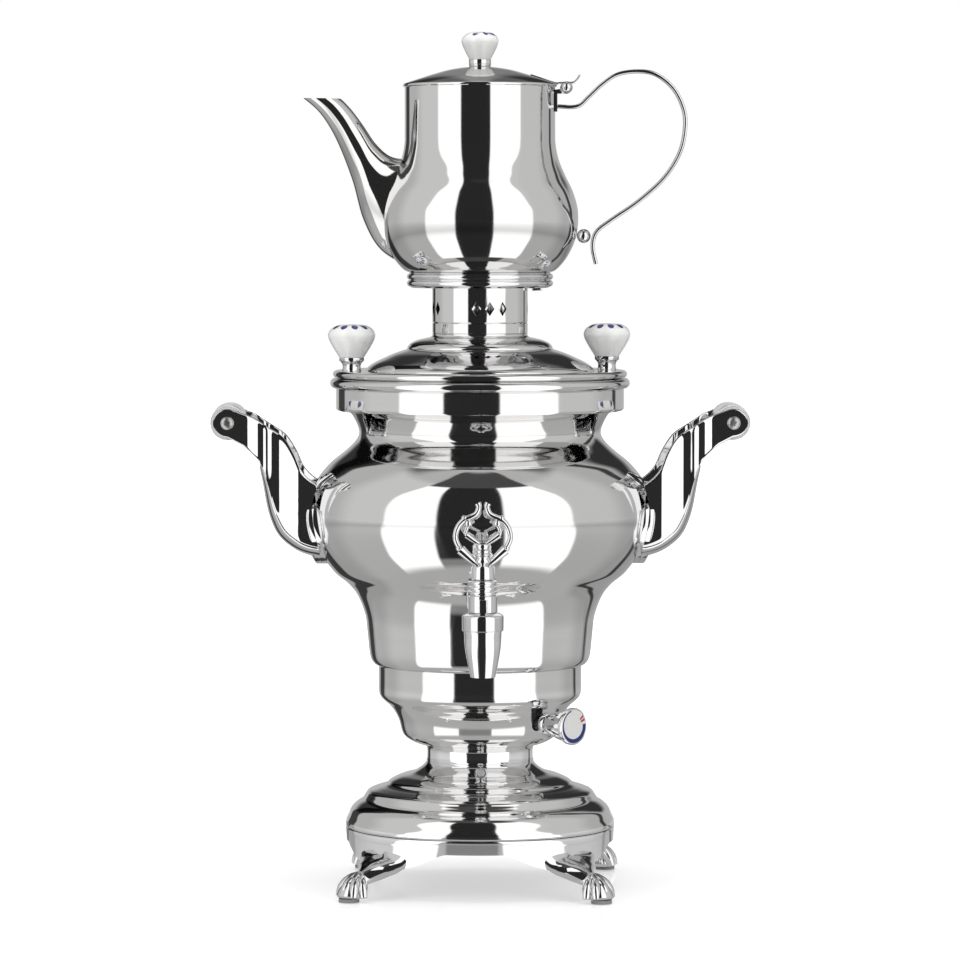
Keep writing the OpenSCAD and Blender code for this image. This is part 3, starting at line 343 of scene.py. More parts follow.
def ringed(name, rings, paint, sharp=40, capped=True):
    """A piece drawn from ring to ring of points: a circle extruded and laid on each."""
    nothing_selected()
    bpy.ops.mesh.primitive_circle_add(vertices=len(rings[0]), radius=0.001, location=(0, 0, 0))
    piece = bpy.context.object
    piece.name = piece.data.name = name
    bpy.ops.object.mode_set(mode="EDIT")
    bpy.ops.mesh.select_mode(type="VERT")
    bpy.ops.mesh.select_all(action="SELECT")
    for k, ring in enumerate(rings):
        if k:
            bpy.ops.mesh.extrude_edges_move(TRANSFORM_OT_translate={"value": (0, 0, 0)})
        shape = bmesh.from_edit_mesh(piece.data)
        shape.verts.ensure_lookup_table()
        fresh = shape.verts[-len(ring):]
        for vert, point in zip(fresh, ring):
            vert.co = point
        if capped and k in (0, len(rings) - 1):
            shape.faces.new(fresh)
        bmesh.update_edit_mesh(piece.data)
    bpy.ops.mesh.select_all(action="SELECT")
    bpy.ops.mesh.remove_doubles(threshold=0.000002)
    bpy.ops.mesh.normals_make_consistent(inside=False)
    return finished(piece, paint, sharp)


def joined(pieces, name):
    chosen(pieces)
    bpy.ops.object.join()
    pieces[0].name = pieces[0].data.name = name
    return pieces[0]


def copied(piece, place):
    """A copy of the piece with a mesh of its own, moved from the piece by place."""
    chosen([piece])
    bpy.ops.object.duplicate()
    bpy.context.object.data.transform(place)
    return bpy.context.object


def dressed(piece, body, slot, *stands_for):
    """The finished piece rides on its body and stands for its solids."""
    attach(piece, body)
    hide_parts(*stands_for)


def bumped(height, depth, strength):
    return height.node("ShaderNodeBump", (), {"Height": height, "Distance": depth, "Strength": strength})


# Chrome on cast zinc: mirror bright, with the faint unevenness of a buffed casting.
chrome, shader, place = new_material("buffed_chrome")
feed(shader, Base_Color=(0.80, 0.80, 0.81, 1), Metallic=1.0, Roughness=0.030 + 0.05 * grain(place, 0.012),
     Normal=bumped(grain(place, 0.006, 1.0), 0.00002, 0.35))
seam_z, skirt_low = 40.3, 18.3
skirt_turn = -3
skirt_edge = [(across, seam_z + drop) for across, drop in on_curve(
    [(20, -9.1), (28, -12.2), (36.3, -16.4), (44.7, -19.3), (50, -21.2), (56, -22)], 5)]


def arch_height(across):
    """Height of the skirt's lower edge, that far to the side of the middle of an arch."""
    across = abs(across)
    if across <= skirt_edge[0][0]:
        return skirt_edge[0][1]
    for (x0, z0), (x1, z1) in zip(skirt_edge, skirt_edge[1:]):
        if across <= x1:
            return between(z0, z1, (across - x0) / (x1 - x0))
    return skirt_low


skirt_path = on_curve([(88.3, skirt_low), (88.45, skirt_low + 6), (88.6, skirt_low + 12),
                       (88.72, skirt_low + 16.5), (88.8, skirt_low + 18), (88.8, seam_z - 0.9),
                       (88.4, seam_z - 0.3)], 5)
skirt = turned("skirt_ring", sheet_of(skirt_path, 2), chrome, steps=192, sharp=40)
bpy.ops.object.mode_set(mode="EDIT")
skirt_mesh = bmesh.from_edit_mesh(skirt.data)
for vert in skirt_mesh.verts:
    turn = math.atan2(vert.co.y, vert.co.x) - math.radians(skirt_turn) + math.pi / 4
    across = math.hypot(vert.co.x, vert.co.y) / MM * math.sin(turn % (math.pi / 2) - math.pi / 4)
    low = arch_height(across) * MM
    share = (vert.co.z - skirt_low * MM) / ((seam_z - skirt_low) * MM)
    vert.co.z = low + share * (seam_z * MM - low)
bmesh.update_edit_mesh(skirt.data)
finished(skirt, chrome, 40)

ankle_r, ankle_z, sole_z, palm_r = 106.5, 15.5, 2.3, 113.8
leg_line = on_curve([(84.6, 32.5), (87.4, 27), (91.4, 22.6), (96.4, 19.2), (101.8, 16.4), (106.5, 14.2),
                     (110, 12)], 4)
leg_half = smoothed([24, 22.6, 18.4, 12.2, 7.2, 4.8, 5.4], 4)
leg_deep = smoothed([2.4, 3.4, 4.9, 5.2, 4.4, 3.9, 4.4], 4)
toe_line = on_curve([(-3.5, 1.2), (1.5, 0.8), (7.2, -1.8), (11.6, -6.6), (13.8, -12.4)], 4)
toe_fat = smoothed([2.0, 2.5, 3.1, 3.3, 2.5], 4)
groove = [0.2, 0.6, 1.6, 2.3, 2.1, 1.5, 1.2, 1.1, 1.0, 1.0, 0.9, 0.8, 0.7, 0.6, 0.5, 0.3, 0.2, 0.1, 0, 0,
          0, 0, 0, 0, 0]


def claw_foot():
    """A leg with a creased front, and five ridged toes on a round pad."""
    rings = []
    for k, (r, z) in enumerate(leg_line):
        in_r, in_z = aside(leg_line, k)
        ring = []
        for turn in round_turn(40):
            wide = leg_half[k] * math.copysign(abs(math.sin(turn)) ** 0.9, math.sin(turn))
            deep = leg_deep[k] * math.copysign(abs(math.cos(turn)) ** 0.75, math.cos(turn))
            if deep > 0:
                deep -= groove[k] * max(0, 1 - (wide / 2.4) ** 2)
            round_back = wide * wide / 190 if k < 10 else 0
            droop = 3.2 * (wide / leg_half[k]) ** 2 * min(1, k / 6)
            ring.append(((r - in_r * deep - round_back) * MM, wide * MM, (z - in_z * deep - droop) * MM))
        rings.append(ring)
    parts = [ringed("claw_foot", rings, chrome, 50)]
    for fan, long in ((-62, 0.86), (-31, 0.96), (0, 1), (31, 0.96), (62, 0.86)):
        rings = []
        for k, (r, z) in enumerate(toe_line):
            in_r, in_z = aside(toe_line, k)
            rings.append([((r * long - in_r * toe_fat[k] * math.cos(turn)) * MM,
                           toe_fat[k] * math.sin(turn) * MM,
                           max(z - in_z * toe_fat[k] * math.cos(turn), sole_z - ankle_z) * MM)
                          for turn in round_turn(16)])
        toe = ringed("toe", rings, chrome, 50)
        toe.data.transform(at(ankle_r, 0, ankle_z) @ about(fan))
        parts.append(toe)
    parts.append(turned("palm", [(0, sole_z), (7.6, sole_z), (9, 3.2), (9.4, 4.4), (8, 8), (4.6, 13),
                                 (0, 15)], chrome, 32, at(palm_r, 0, 0)))
    return joined(parts, "claw_foot")


foot = claw_foot()
foot.data.transform(about(skirt_turn + 45))
feet = [foot, *[copied(foot, about(90 * corner)) for corner in (1, 2, 3)]]
dressed(joined([skirt, *feet], "cast_foot_skirt"), "samovar", "chrome", "foot_skirt")

# Base dome: stainless sheet spun in three steps, with a bead at its foot and a flat top.
# It sits in the skirt, and the stud through its top clamps it to the waist ring and the tank.
steel, shader, place = new_material("polished_steel")
wheel_rings = grain(place, 0.0011, 2.0, 0.6, (0.02, 0.02, 1))
feed(shader, Base_Color=(0.79, 0.785, 0.78, 1), Metallic=1.0,
     Roughness=0.028 + 0.03 * wheel_rings + 0.03 * grain(place, 0.03),
     Normal=bumped(wheel_rings, 0.000002, 0.5))
dome_path = on_curve([(between(35, 88.8, a), between(seam_z, 84, b)) for a, b in (
    (1, 0.02), (0.997, 0.09), (0.967, 0.176), (0.93, 0.275), (0.87, 0.345), (0.803, 0.40),
    (0.76, 0.474), (0.72, 0.535), (0.61, 0.585), (0.509, 0.627), (0.45, 0.69),
    (0.325, 0.76), (0.18, 0.81), (0.08, 0.88), (0.02, 0.95), (0, 1))], 5)
dome = turned("spun_base_dome", [(88.4, 40.35), *dome_path, (0, 84), (0, 83), (34, 83),
                                 *beside(dome_path, -1)[::-1][1:], (82.8, 40.35)], steel)
dressed(dome, "samovar", "polished_steel", "base_dome")

# Waist ring: a short chromed spacer turned from bar, between the dome and the housing.
# Its outside is a shallow hollow with a lip above and below.
waist_side = on_curve([(35.2, 84.8), (35, 86), (35, 91), (35.5, 92.6), (36.5, 94)], 4)
waist = turned("waist_spacer", [(32, 84), (35.6, 84), *waist_side, (32, 94)], chrome)
dressed(waist, "samovar", "chrome", "waist_ring")

# Lower housing: spun sheet that flares from the waist to a plain upright band under the tank.
# It hides the heater's terminals, with one hole for the dial's shaft and one for the mains inlet.
house_path = on_curve([(between(36.6, 67, a), between(94, 147, b)) for a, b in (
    (0, 0), (0.16, 0.022), (0.326, 0.064), (0.45, 0.12), (0.51, 0.19), (0.566, 0.313), (0.66, 0.42),
    (0.77, 0.50), (0.90, 0.565), (0.975, 0.62), (1, 0.68), (1, 0.85), (1, 1.05))], 5)
housing = turned("spun_lower_housing", [(0, 94), *house_path, *beside(house_path, -1)[::-1][:-1], (0, 95)],
                 steel, steps=160)


def bar(sides, r, long, place=Matrix()):
    """A plain bar with that many sides, in mm, that lies along Z before it is moved to its place."""
    nothing_selected()
    bpy.ops.mesh.primitive_cylinder_add(vertices=sides, radius=r * MM, depth=long * MM, location=(0, 0, 0))
    bpy.context.object.data.transform(place)
    return bpy.context.object


def cuboid(size, place=Matrix()):
    """A plain block of that size in mm, moved to its place."""
    nothing_selected()
    bpy.ops.mesh.primitive_cube_add(size=MM, location=(0, 0, 0))
    bpy.context.object.data.transform(place @ Matrix.Diagonal((*size, 1)))
    return bpy.context.object


def bored(piece, tool, paint, sharp):
    """Cuts the tool's shape out of the piece, takes the tool away, and finishes the piece again."""
    chosen([piece])
    cut = piece.modifiers.new("cut", "BOOLEAN")
    cut.object = tool
    cut.solver = "EXACT"
    bpy.ops.object.modifier_apply(modifier="cut")
    bpy.data.objects.remove(tool)
    return finished(piece, paint, sharp)


dial_angle, dial_z = 44, 112
facing_front = about(90, "X")
bored(housing, bar(64, 5.5, 40, about(dial_angle) @ at(0, -55, dial_z) @ facing_front), steel, 32)
bored(housing, cuboid((28.1, 50, 20.1), at(0, 55, dial_z)), steel, 32)
dressed(housing, "samovar", "polished_steel", "lower_housing")

# Tank: a 1 mm stainless shell spun as one pear-shaped body, with a welded boss for the tap.
# It stands on the housing's band, and its mouth carries the collar.
tank_path = on_curve([
    (68.3, 147), (70.9, 149), (72.9, 154), (74.3, 167), (75.9, 180),
    *[(between(72.9, 113, a), between(147, 244.5, b)) for a, b in ((0.2, 0.472), (0.36, 0.555), (0.60, 0.64),
                                                                   (0.86, 0.80), (1, 1))],
    *[(between(79.9, 113, a), between(244.5, 302, b)) for a, b in ((0.90, 0.36), (0.62, 0.60), (0.25, 0.78),
                                                                   (0.05, 0.90), (0, 1))],
    (83.275, 310.4), (87.5, 316)], 7)
shell = turned("spun_tank", sheet_of(tank_path, 1), steel, steps=192, sharp=40)


def radius_at(path, height):
    for (r0, z0), (r1, z1) in zip(path, path[1:]):
        if z0 <= height <= z1:
            return between(r0, r1, (height - z0) / (z1 - z0))
    return path[-1][0]


tap_z = 198
boss_in, boss_out = radius_at(tank_path, tap_z - 10) - 0.8, radius_at(tank_path, tap_z + 10) + 2.5
boss = turned("tap_boss", [(6.6, boss_in), (10, boss_in), (10, boss_out - 0.8), (9.2, boss_out),
                           (6.6, boss_out)], steel, 64, at(0, 0, tap_z) @ facing_front)
dressed(joined([shell, boss], "spun_tank"), "samovar", "polished_steel", "tank")

# Rim collar: a flat band of stainless rolled round the mouth of the tank, with a round bead on top.
# The lid's own bead rests on it.


def arc(x, z, r, start, end, step, high=None):
    """Points round x, z at angles from start to before end, with radius r, or r across and high upwards."""
    turns = [math.radians(a) for a in range(start, end, step)]
    return [(x + r * math.cos(a), z + (high or r) * math.sin(a)) for a in turns]


collar = turned("rim_band", [
    (87.6, 315), (92.9, 315), (94.2, 315.4), (94.9, 316.6), (94.9, 317.1), (94.9, 328.9), (94.9, 329.4),
    (94.6, 329.9), (95.6, 330.0), *arc(95.5, 333.3, 3.3, -75, 76, 10), (94.8, 336.6), (87.8, 336.6),
    (87.8, 334.6), (93.7, 334.6), (93.7, 316.1), (87.6, 316.1)], steel, steps=192)
dressed(collar, "samovar", "polished_steel", "rim_collar")

# Pilot lamp: a clear faceted lens of moulded plastic in a small turned bezel.
# The bezel is pressed into a hole in the front of the base dome.
lamp_place = at(0, -42, 78) @ about(64, "X")
bezel = turned("lamp_bezel", [(2.95, 3.9), (3.1, 1), (3.1, -8), (3.3, -8), (3.3, 2.2), (4.0, 2.2), (4.1, 2.6),
                              (4.1, 3.4), (3.8, 3.9), (3.3, 4.0)], chrome, 48, lamp_place)
dressed(bezel, "samovar", "chrome", "pilot_lamp_body")
lens_glass, shader, place = new_material("clear_lens")
feed(shader, Base_Color=(0.55, 0.55, 0.55, 1), Roughness=0.05, Transmission_Weight=0.35, IOR=1.49,
     Coat_Weight=0.3)
nothing_selected()
bpy.ops.mesh.primitive_uv_sphere_add(segments=12, ring_count=8, radius=2.88 * MM, location=(0, 0, 0))
lens = bpy.context.object
lens.name = lens.data.name = "faceted_lens"
bpy.ops.object.mode_set(mode="EDIT")
bpy.ops.mesh.select_all(action="SELECT")
bpy.ops.mesh.bisect(plane_co=(0, 0, 0.0002), plane_no=(0, 0, 1), clear_inner=True, use_fill=True)
bpy.ops.mesh.select_all(action="SELECT")
bpy.ops.transform.resize(value=(1, 1, 0.42))
finished(lens, lens_glass, 5)
lens.data.transform(lamp_place @ at(0, 0, 3.55))
dressed(lens, "samovar", "lamp_lens", "pilot_lamp_lens")

# Side handles: an oval pad hugs the belly, and a hollow casting of two curved cheeks and a bowl sits on it.
# Both are chromed, and bolts from inside the tank hold them.
grip_x, grip_z, boss_r = 165.5, 308.0, 9.4
pad_z, pad_half_h, pad_half_w = 241.0, 27.2, 38.0
cheek_y, cheek_thick = 33, 5


def on_wall(off, y, z):
    """Point of the tank's right side at that depth and height, off outside its wall."""
    r = radius_at(beside(tank_path, off), z)
    return (math.sqrt(max(r * r - y * y, 0)) * MM, y * MM, z * MM)


def oval_plate(name, start, end, soft):
    """Oval plate on the tank, from start to end outside its wall, with an outer edge rounded by soft."""
    steps = [(0.04, start), (0.5, start), (1, start), (1, end - soft), (1 - 0.011 * soft, end - soft * 0.4),
             (1 - 0.032 * soft, end - soft * 0.08), (1 - 0.05 * soft, end), (0.8, end), (0.6, end),
             (0.4, end), (0.2, end), (0.04, end)]
    rings = []
    for share, off in steps:
        wide, high = pad_half_w * share, pad_half_h * share
        rings.append([on_wall(off, wide * math.sin(turn), pad_z + high * math.cos(turn))
                      for turn in round_turn(96)])
    return ringed(name, rings, chrome, 50)


def spaced(path, count):
    """The path with count points at equal steps along it."""
    runs = [0]
    for a, b in zip(path, path[1:]):
        runs.append(runs[-1] + math.dist(a, b))
    found, k = [], 0
    for i in range(count):
        want = runs[-1] * i / (count - 1)
        while k < len(path) - 2 and runs[k + 1] < want:
            k += 1
        share = (want - runs[k]) / (runs[k + 1] - runs[k])
        found.append(tuple(between(p, q, min(share, 1)) for p, q in zip(path[k], path[k + 1])))
    return found


cheek_top = on_curve([(104, 266), (111, 270.5), (117, 277), (122, 288), (129, 298.5), (139, 305.3),
                      (149, 311.9)], 6)
cheek_top += arc(grip_x, grip_z, boss_r, 105, -1, -7)
bowl_points = [(102, 225.9), (111.3, 227.4), (119.6, 230.9), (127.6, 237.3), (132.6, 246.1), (136, 255.1),
               (139.6, 268.5), (143.4, 279.9)]
cheek_low = on_curve(bowl_points + [(148.7, 287.3), (155.5, 293.4)], 6)
cheek_low += arc(grip_x, grip_z, boss_r, -90, 1, 6)
cheek_stations = list(zip(spaced(cheek_top, 110), spaced(cheek_low, 110)))


def ramp(value):
    return min(max(value, 0), 1)


def wave(x, z):
    """How far the cheek's face lies back: flat at the grip, a ribbed hollow, and out again to the pad."""
    inner, outer = ramp((132.5 - x) / 14), ramp((153 - x) / 8)
    rib = math.cos(min(abs(x - 139.6) / 3.3, 1) * math.pi / 2) ** 2 * ramp((z - 268) / 8)
    hollow = 2.4 * outer * outer * (3 - 2 * outer)
    return hollow - 4.4 * (0.75 * inner + 0.25 * inner * inner * (3 - 2 * inner)) - 0.75 * rib


def cheek(front):
    rings = []
    for (tx, tz), (bx, bz) in cheek_stations:
        wide = max(math.hypot(bx - tx, bz - tz), 0.3)
        soft = min(0.9, wide * 0.42)
        trim = soft * 0.3
        dx, dz = (bx - tx) / wide, (bz - tz) / wide
        face = [(soft + (wide - 2 * soft) * j / 16, 0) for j in range(17)]
        ring = []
        for c, d in (*face, (wide - trim, trim), (wide, soft), (wide, cheek_thick - soft),
                     (wide - trim, cheek_thick - trim), (wide - soft, cheek_thick), (wide * 0.5, cheek_thick),
                     (soft, cheek_thick), (trim, cheek_thick - trim), (0, cheek_thick - soft), (0, soft),
                     (trim, trim)):
            x, z = tx + dx * c, tz + dz * c
            ring.append((x * MM, front * (cheek_y - d - wave(x, z)) * MM, z * MM))
        rings.append(ring)
    return ringed("cheek", rings, chrome, 45)


def bowl():
    """The belly of the casting that joins the cheeks, rounded out below and open above."""
    line = on_curve(bowl_points, 5)
    rings = []
    for k, (x, z) in enumerate(line):
        nx, nz = aside(line, k)
        deep = 7.8 * math.cos(math.radians(84 * k / (len(line) - 1))) ** 0.6
        ring = []
        for inner, half in ((0, 32.6), (2.6, 31)):
            row = []
            for j in range(25):
                share = -math.cos(math.pi * j / 24)
                off = deep * math.sqrt(max(1 - share * share, 0)) - inner
                row.append(((x + nx * off) * MM, share * (half - wave(x, z)) * MM, (z + nz * off) * MM))
            ring += row[::-1] if inner else row
        rings.append(ring)
    return ringed("bowl", rings, chrome, 50)


def side_handle(name):
    """Cheeks, bowl and flange. What would stand in the tank's wall is drawn out onto the pad."""
    parts = [cheek(-1), cheek(1), bowl()]
    wall = beside(tank_path, 3.1)
    for part in parts:
        for vert in part.data.vertices:
            x, y, z = vert.co / MM
            reach = radius_at(wall, z)
            if x * x + y * y < reach * reach:
                vert.co.x = math.sqrt(reach * reach - y * y) * MM
    return joined([*parts, oval_plate("flange", 3.06, 6.2, 0.6)], name)


def mirrored(piece):
    """A copy on the other side of the middle, with its faces turned the right way again."""
    other = copied(piece, Matrix.Scale(-1, 4, (1, 0, 0)))
    other.data.flip_normals()
    return other


for right, name, node in ((side_handle("cast_handle_right"), "cast_handle_left", "handle"),
                          (oval_plate("belly_pad_right", 0.05, 3.0, 0.15), "belly_pad_left", "handle_pad")):
    left = mirrored(right)
    left.name = left.data.name = name
    dressed(right, "samovar", "chrome", node + "_right")
    dressed(left, "samovar", "chrome", node + "_left")

# Grips and rods: white glazed porcelain tubes, with leaves brushed in cobalt blue under the glaze.
# A plain steel rod with cross-head screws holds each between the cheeks.
COBALT = (0.012, 0.014, 0.16, 1)


def blended(share, first, second):
    """The colour first where share is 0, second where it is 1."""
    return share.node("ShaderNodeMix", {"data_type": "RGBA"}, {0: share, 6: first, 7: second}, 2)


def porcelain(name, leaves_of):
    """Glazed white with the mask of blue leaves that leaves_of draws from Object coordinates."""
    paint, shader, place = new_material(name)
    leaf = leaves_of(place)
    wash = 0.88 + 0.12 * grain(place, 0.0016, 3.0)
    feed(shader, Base_Color=blended(leaf * wash, (0.86, 0.86, 0.85, 1), COBALT),
         Roughness=0.10 + 0.05 * grain(place, 0.004), Coat_Weight=0.6, Coat_Roughness=0.04, IOR=1.5,
         Normal=bumped(grain(place, 0.005, 1.0), 0.00003, 0.3))
    return paint


def grip_leaves(place):
    """Six leaves round each end of a grip that lies along Y beside the tank."""
    x, y, z = place.parts()
    turn = (z - grip_z * MM).maths("ARCTAN2", x.maths("ABSOLUTE") - grip_x * MM)
    petal = ((turn * 3).maths("COSINE")).maths("ABSOLUTE")
    along = y.maths("ABSOLUTE")
    pointed = petal - 45 * (along - 0.0135)
    return pointed.rise(0.35, 0.45) * along.within(0.0135, 0.0235, 0.0006)


grip_glaze = porcelain("grip_porcelain", grip_leaves)
lying = about(-90, "X")
grip_half = 27.85
grip_side = on_curve([(10.4, -grip_half), (11.5, -25.8), (11.8, 0), (11.5, 25.8), (10.4, grip_half)], 6)
for name, side_x, node in (("porcelain_grip_left", -grip_x, "grip_left"),
                           ("porcelain_grip_right", grip_x, "grip_right")):
    grip = turned(name, [(2.56, grip_half), (2.56, -grip_half), (9.6, -grip_half), *grip_side,
                         (9.6, grip_half)], grip_glaze, 96, at(side_x, 0, grip_z) @ lying)
    dressed(grip, "samovar", "porcelain", node)

satin, shader, place = new_material("satin_steel")
feed(shader, Base_Color=(0.56, 0.56, 0.55, 1), Metallic=1.0,
     Roughness=0.26 + 0.16 * grain(place, 0.0015, 4.0, 0.6, (1, 0.06, 1)))
head = turned("screw_head", [(0, 0), (4.3, 0), (4.35, 0.5), (4.2, 1.3), (3.6, 2.0), (2.4, 2.45), (1, 2.6),
                             (0, 2.6)], satin, 40)
for spin in (20, 110):
    bored(head, cuboid((3.4, 0.8, 2.2), about(spin) @ at(0, 0, 2.4)), satin, 30)
rods = [turned("rod", [(0, -34), (2.5, -34), (2.5, 34), (0, 34)], satin, 32, lying)]
rods += [copied(head, at(0, front * 33.1, 0) @ about(-90 * front, "X")) for front in (-1, 1)]
bpy.data.objects.remove(head)
rod = joined(rods, "grip_rods_and_screws")
rod.data.transform(at(-grip_x, 0, grip_z))
both_rods = joined([rod, copied(rod, at(2 * grip_x, 0, 0))], "grip_rods_and_screws")
dressed(both_rods, "samovar", "plain_steel", "grip_rods")

# Tap: a cast barrel on a shank through the tank's boss, a ribbed gland, an upright nozzle, and a key.
# All are chromed brass, and a hexagon collar draws the shank against the boss.
tap_front = 134
tap_place = at(0, -tap_front, tap_z)
barrel = turned("barrel", [(3.5, -13.5), (7, -13.5), (7, -5.8), (8.8, -5.6), (9.3, -5.2), (9.3, 4.7),
                           (8.9, 5.2), (7.05, 5.2), (7.05, 2.7), (6.05, 2.7), (4.9, -7.5),
                           (3.5, -7.5)], chrome, 96, tap_place)
shank_end = tap_front - boss_in + 7
shank = turned("shank", [(3, 8.2), (5.1, 8.2), (5.1, 14), (6.5, 14.6), (6.5, shank_end), (3, shank_end)],
               chrome, 64, tap_place @ lying)


def rounded_edges(piece, edge, rounds, sharp):
    """Rounds off all edges of a chromed piece by edge, in mm."""
    bpy.ops.object.mode_set(mode="EDIT")
    bpy.ops.mesh.select_all(action="SELECT")
    bpy.ops.mesh.bevel(offset=edge * MM, segments=rounds)
    return finished(piece, chrome, sharp)


def block(size, place, edge, rounds=3, sharp=30):
    """A chromed block with rounded edges."""
    return rounded_edges(cuboid(size, place), edge, rounds, sharp)


collar_nut = rounded_edges(bar(6, 19 / math.sqrt(3), 6), 0.5, 2, 25)
collar_nut.data.transform(tap_place @ at(0, tap_front - boss_out - 3.8, 0) @ facing_front)
lug = block((5.6, 4, 9), tap_place @ at(0, -8.7, -1.3), 0.7)
dressed(joined([barrel, shank, collar_nut, lug], "tap_barrel"), "samovar", "chrome", "tap_body")

ribs = [point for k in range(3) for point in arc(7.9, 7 + 3.2 * k, 0.95, -70, 71, 20, 1.25)]
gland = turned("ribbed_gland", [(4.05, 2.9), (7, 2.9), (7, 5.3), (8.2, 5.3), *ribs, (7.4, 15), (4.05, 15)],
               chrome, 96, tap_place)
dressed(gland, "samovar", "chrome", "tap_gland")
nozzle_low = -46.8
nozzle_lip = on_curve([(10.6, -6.1), (12.4, -7.0), (13.2, -8.0), (13.3, -9)], 3)
nozzle_side = on_curve([(12, -18.2), (11.4, between(-5.6, nozzle_low, 0.55)),
                        (9.6, between(-5.6, nozzle_low, 0.8)), (7.9, nozzle_low)], 8)
nozzle = turned("nozzle", [(7.05, -5.8), (9.6, -5.8), *nozzle_lip, (13.2, -16.8), (12.8, -17.4),
                           (12.05, -17.6), *nozzle_side, (7.6, nozzle_low - 0.02), (6.6, nozzle_low),
                           (5, nozzle_low + 12), (5, -14), (7.05, -14)], chrome, 96, tap_place)
dressed(nozzle, "samovar", "chrome", "tap_nozzle")


def laid_along(line, section_of):
    """Rings across a line in the XZ plane. section_of(k) gives a ring's steps to the right and along Y."""
    rings = []
    for k, (x, z) in enumerate(line):
        nx, nz = aside(line, k)
        rings.append([((x + nx * off) * MM, y * MM, (z + nz * off) * MM) for off, y in section_of(k)])
    return rings


def rod_along(name, points, radii):
    """A round rod in the XZ plane through the points in mm, with a radius at each."""
    return ringed(name, laid_along(points, lambda k: [
        (radii[k] * math.cos(turn), radii[k] * math.sin(turn)) for turn in round_turn(20)]), chrome, 50)


def ball(name, r, last, step, steps, place):
    """A chromed ball, with a ring of points every step degrees up to the last one before the poles."""
    return turned(name, [(0, -r), *arc(0, 0, r, -last, last + 1, step), (0, r)], chrome, steps, place)


def key_wing():
    """One half of the openwork key: a flared leaf, a tube, two buds, an inner leaf and a finial."""
    leaf = on_curve([(2.6, 0.4), (6.4, 3.4), (10.6, 7.2), (14.3, 10.6)], 4)
    tube = on_curve([(12.4, 8.8), (15.2, 12.4), (17.2, 17), (17.0, 21.6), (15, 26.2), (11.5, 29.6),
                     (7.3, 31.4), (4.3, 33.2), (2.9, 36), (2.6, 38.4), (3.3, 40)], 4)
    inner = on_curve([(9.4, 26), (10.9, 22), (9.9, 19)], 4)
    inner_leaf = on_curve([(10.4, 19.8), (6.2, 16.6), (2.2, 14.0)], 4)
    parts = [rod_along("leaf", leaf, [between(1.7, 3.3, (k / 12) ** 0.8) for k in range(13)]),
             rod_along("tube", tube,
                       [1.75 + 0.25 * math.exp(-((k - 40) / 4) ** 2) for k in range(len(tube))]),
             rod_along("inner_tube", inner, [1.25] * len(inner)),
             rod_along("inner_leaf", inner_leaf, [between(2.1, 1.2, k / 8) for k in range(9)])]
    parts += [ball("bud", r, 75, 15, 24, at(x, 0, z))
              for x, z, r in ((9.2, 27.2, 2.55), (11.8, 30.4, 1.95), (14.9, 11.4, 2.2))]
    return joined(parts, "key_wing")


key_collar = turned("key_collar", [(4.05, 15.3), (7.0, 15.3), (7.5, 15.8), (7.5, 22.8), (6.9, 23.8),
                                   (4.6, 23.9), (0, 23.9), (0, 23.2), (4.05, 23.2)], chrome, 64)
spool = turned("key_spool", [(0, 23.8), *[(r, z + 23.9) for r, z in on_curve(
    [(3.6, 0), (5.0, 3.4), (4.4, 5.6), (5.5, 7.2), (4.8, 8.4), (5.3, 9.6), (4.3, 11.2), (4.9, 13.2),
     (3.6, 14.3), (0, 14.6)], 4)]], chrome, 48)
wing = key_wing()
wing.data.transform(at(0, 0, 23.7))
key = joined([key_collar, spool, mirrored(wing), wing], "openwork_key")
key.data.transform(tap_place)
dressed(key, "tap_key", "chrome", "tap_key")

# Thermostat knob: a chromed cone on the shaft, with a white printed dial let into its bright rim.
# A blue arc that widens shows the heat, with two red strokes at its end.
dial_place = about(dial_angle) @ at(0, 0, dial_z) @ facing_front
knob_cone = turned("dial_cone", [(0, 60.5), (6.4, 60.5), (7.0, 60.8), (7.4, 61.6), (7.4, 64.2), (7.0, 65),
                                 (6.6, 65.4), (6.6, 66.2), *on_curve([(7.6, 68.4), (9.4, 75), (10.9, 83)], 5),
                                 (11.9, 83.4), (12.1, 84), (12.1, 86.3), (11.8, 86.85), (11.4, 87),
                                 (11.05, 86.9), (11, 86), (0, 86)], chrome, 96, dial_place)
dressed(knob_cone, "thermostat_knob", "chrome", "thermostat_knob")
dial_paint, shader, place = new_material("dial_print")
bring_flat = place.node("ShaderNodeVectorRotate", {"rotation_type": "Z_AXIS"},
                        {"Vector": place, "Angle": -math.radians(dial_angle)})
dial_x, dial_up = bring_flat.parts()[::2]
dial_up = dial_up - dial_z * MM
dial_r = (dial_x * dial_x + dial_up * dial_up) ** 0.5
dial_a = dial_up.maths("ARCTAN2", dial_x) * (180 / math.pi)
swept = ((dial_a - 103) / 360).maths("FRACT") * 360
blue_wide = 0.0008 + swept.rise(20, 190) * 0.0020
blue_arc = (dial_r + blue_wide).rise(0.0107, 0.0109) * (1 - dial_r.rise(0.0107, 0.0109))
blue_arc = blue_arc * swept.within(1, 264, 1)
red_ticks = (dial_a.within(18.5, 28, 1) + dial_a.within(33, 42, 1)) * dial_r.within(0.0068, 0.0106, 0.0002)
face = blended(blue_arc, (0.69, 0.69, 0.68, 1), (0.006, 0.010, 0.135, 1))
feed(shader, Base_Color=blended(red_ticks, face, (0.40, 0.004, 0.008, 1)),
     Roughness=0.30 + 0.08 * grain(place, 0.002), Coat_Weight=0.1)
solids["thermostat_dial"].data.materials.clear()
solids["thermostat_dial"].data.materials.append(dial_paint)

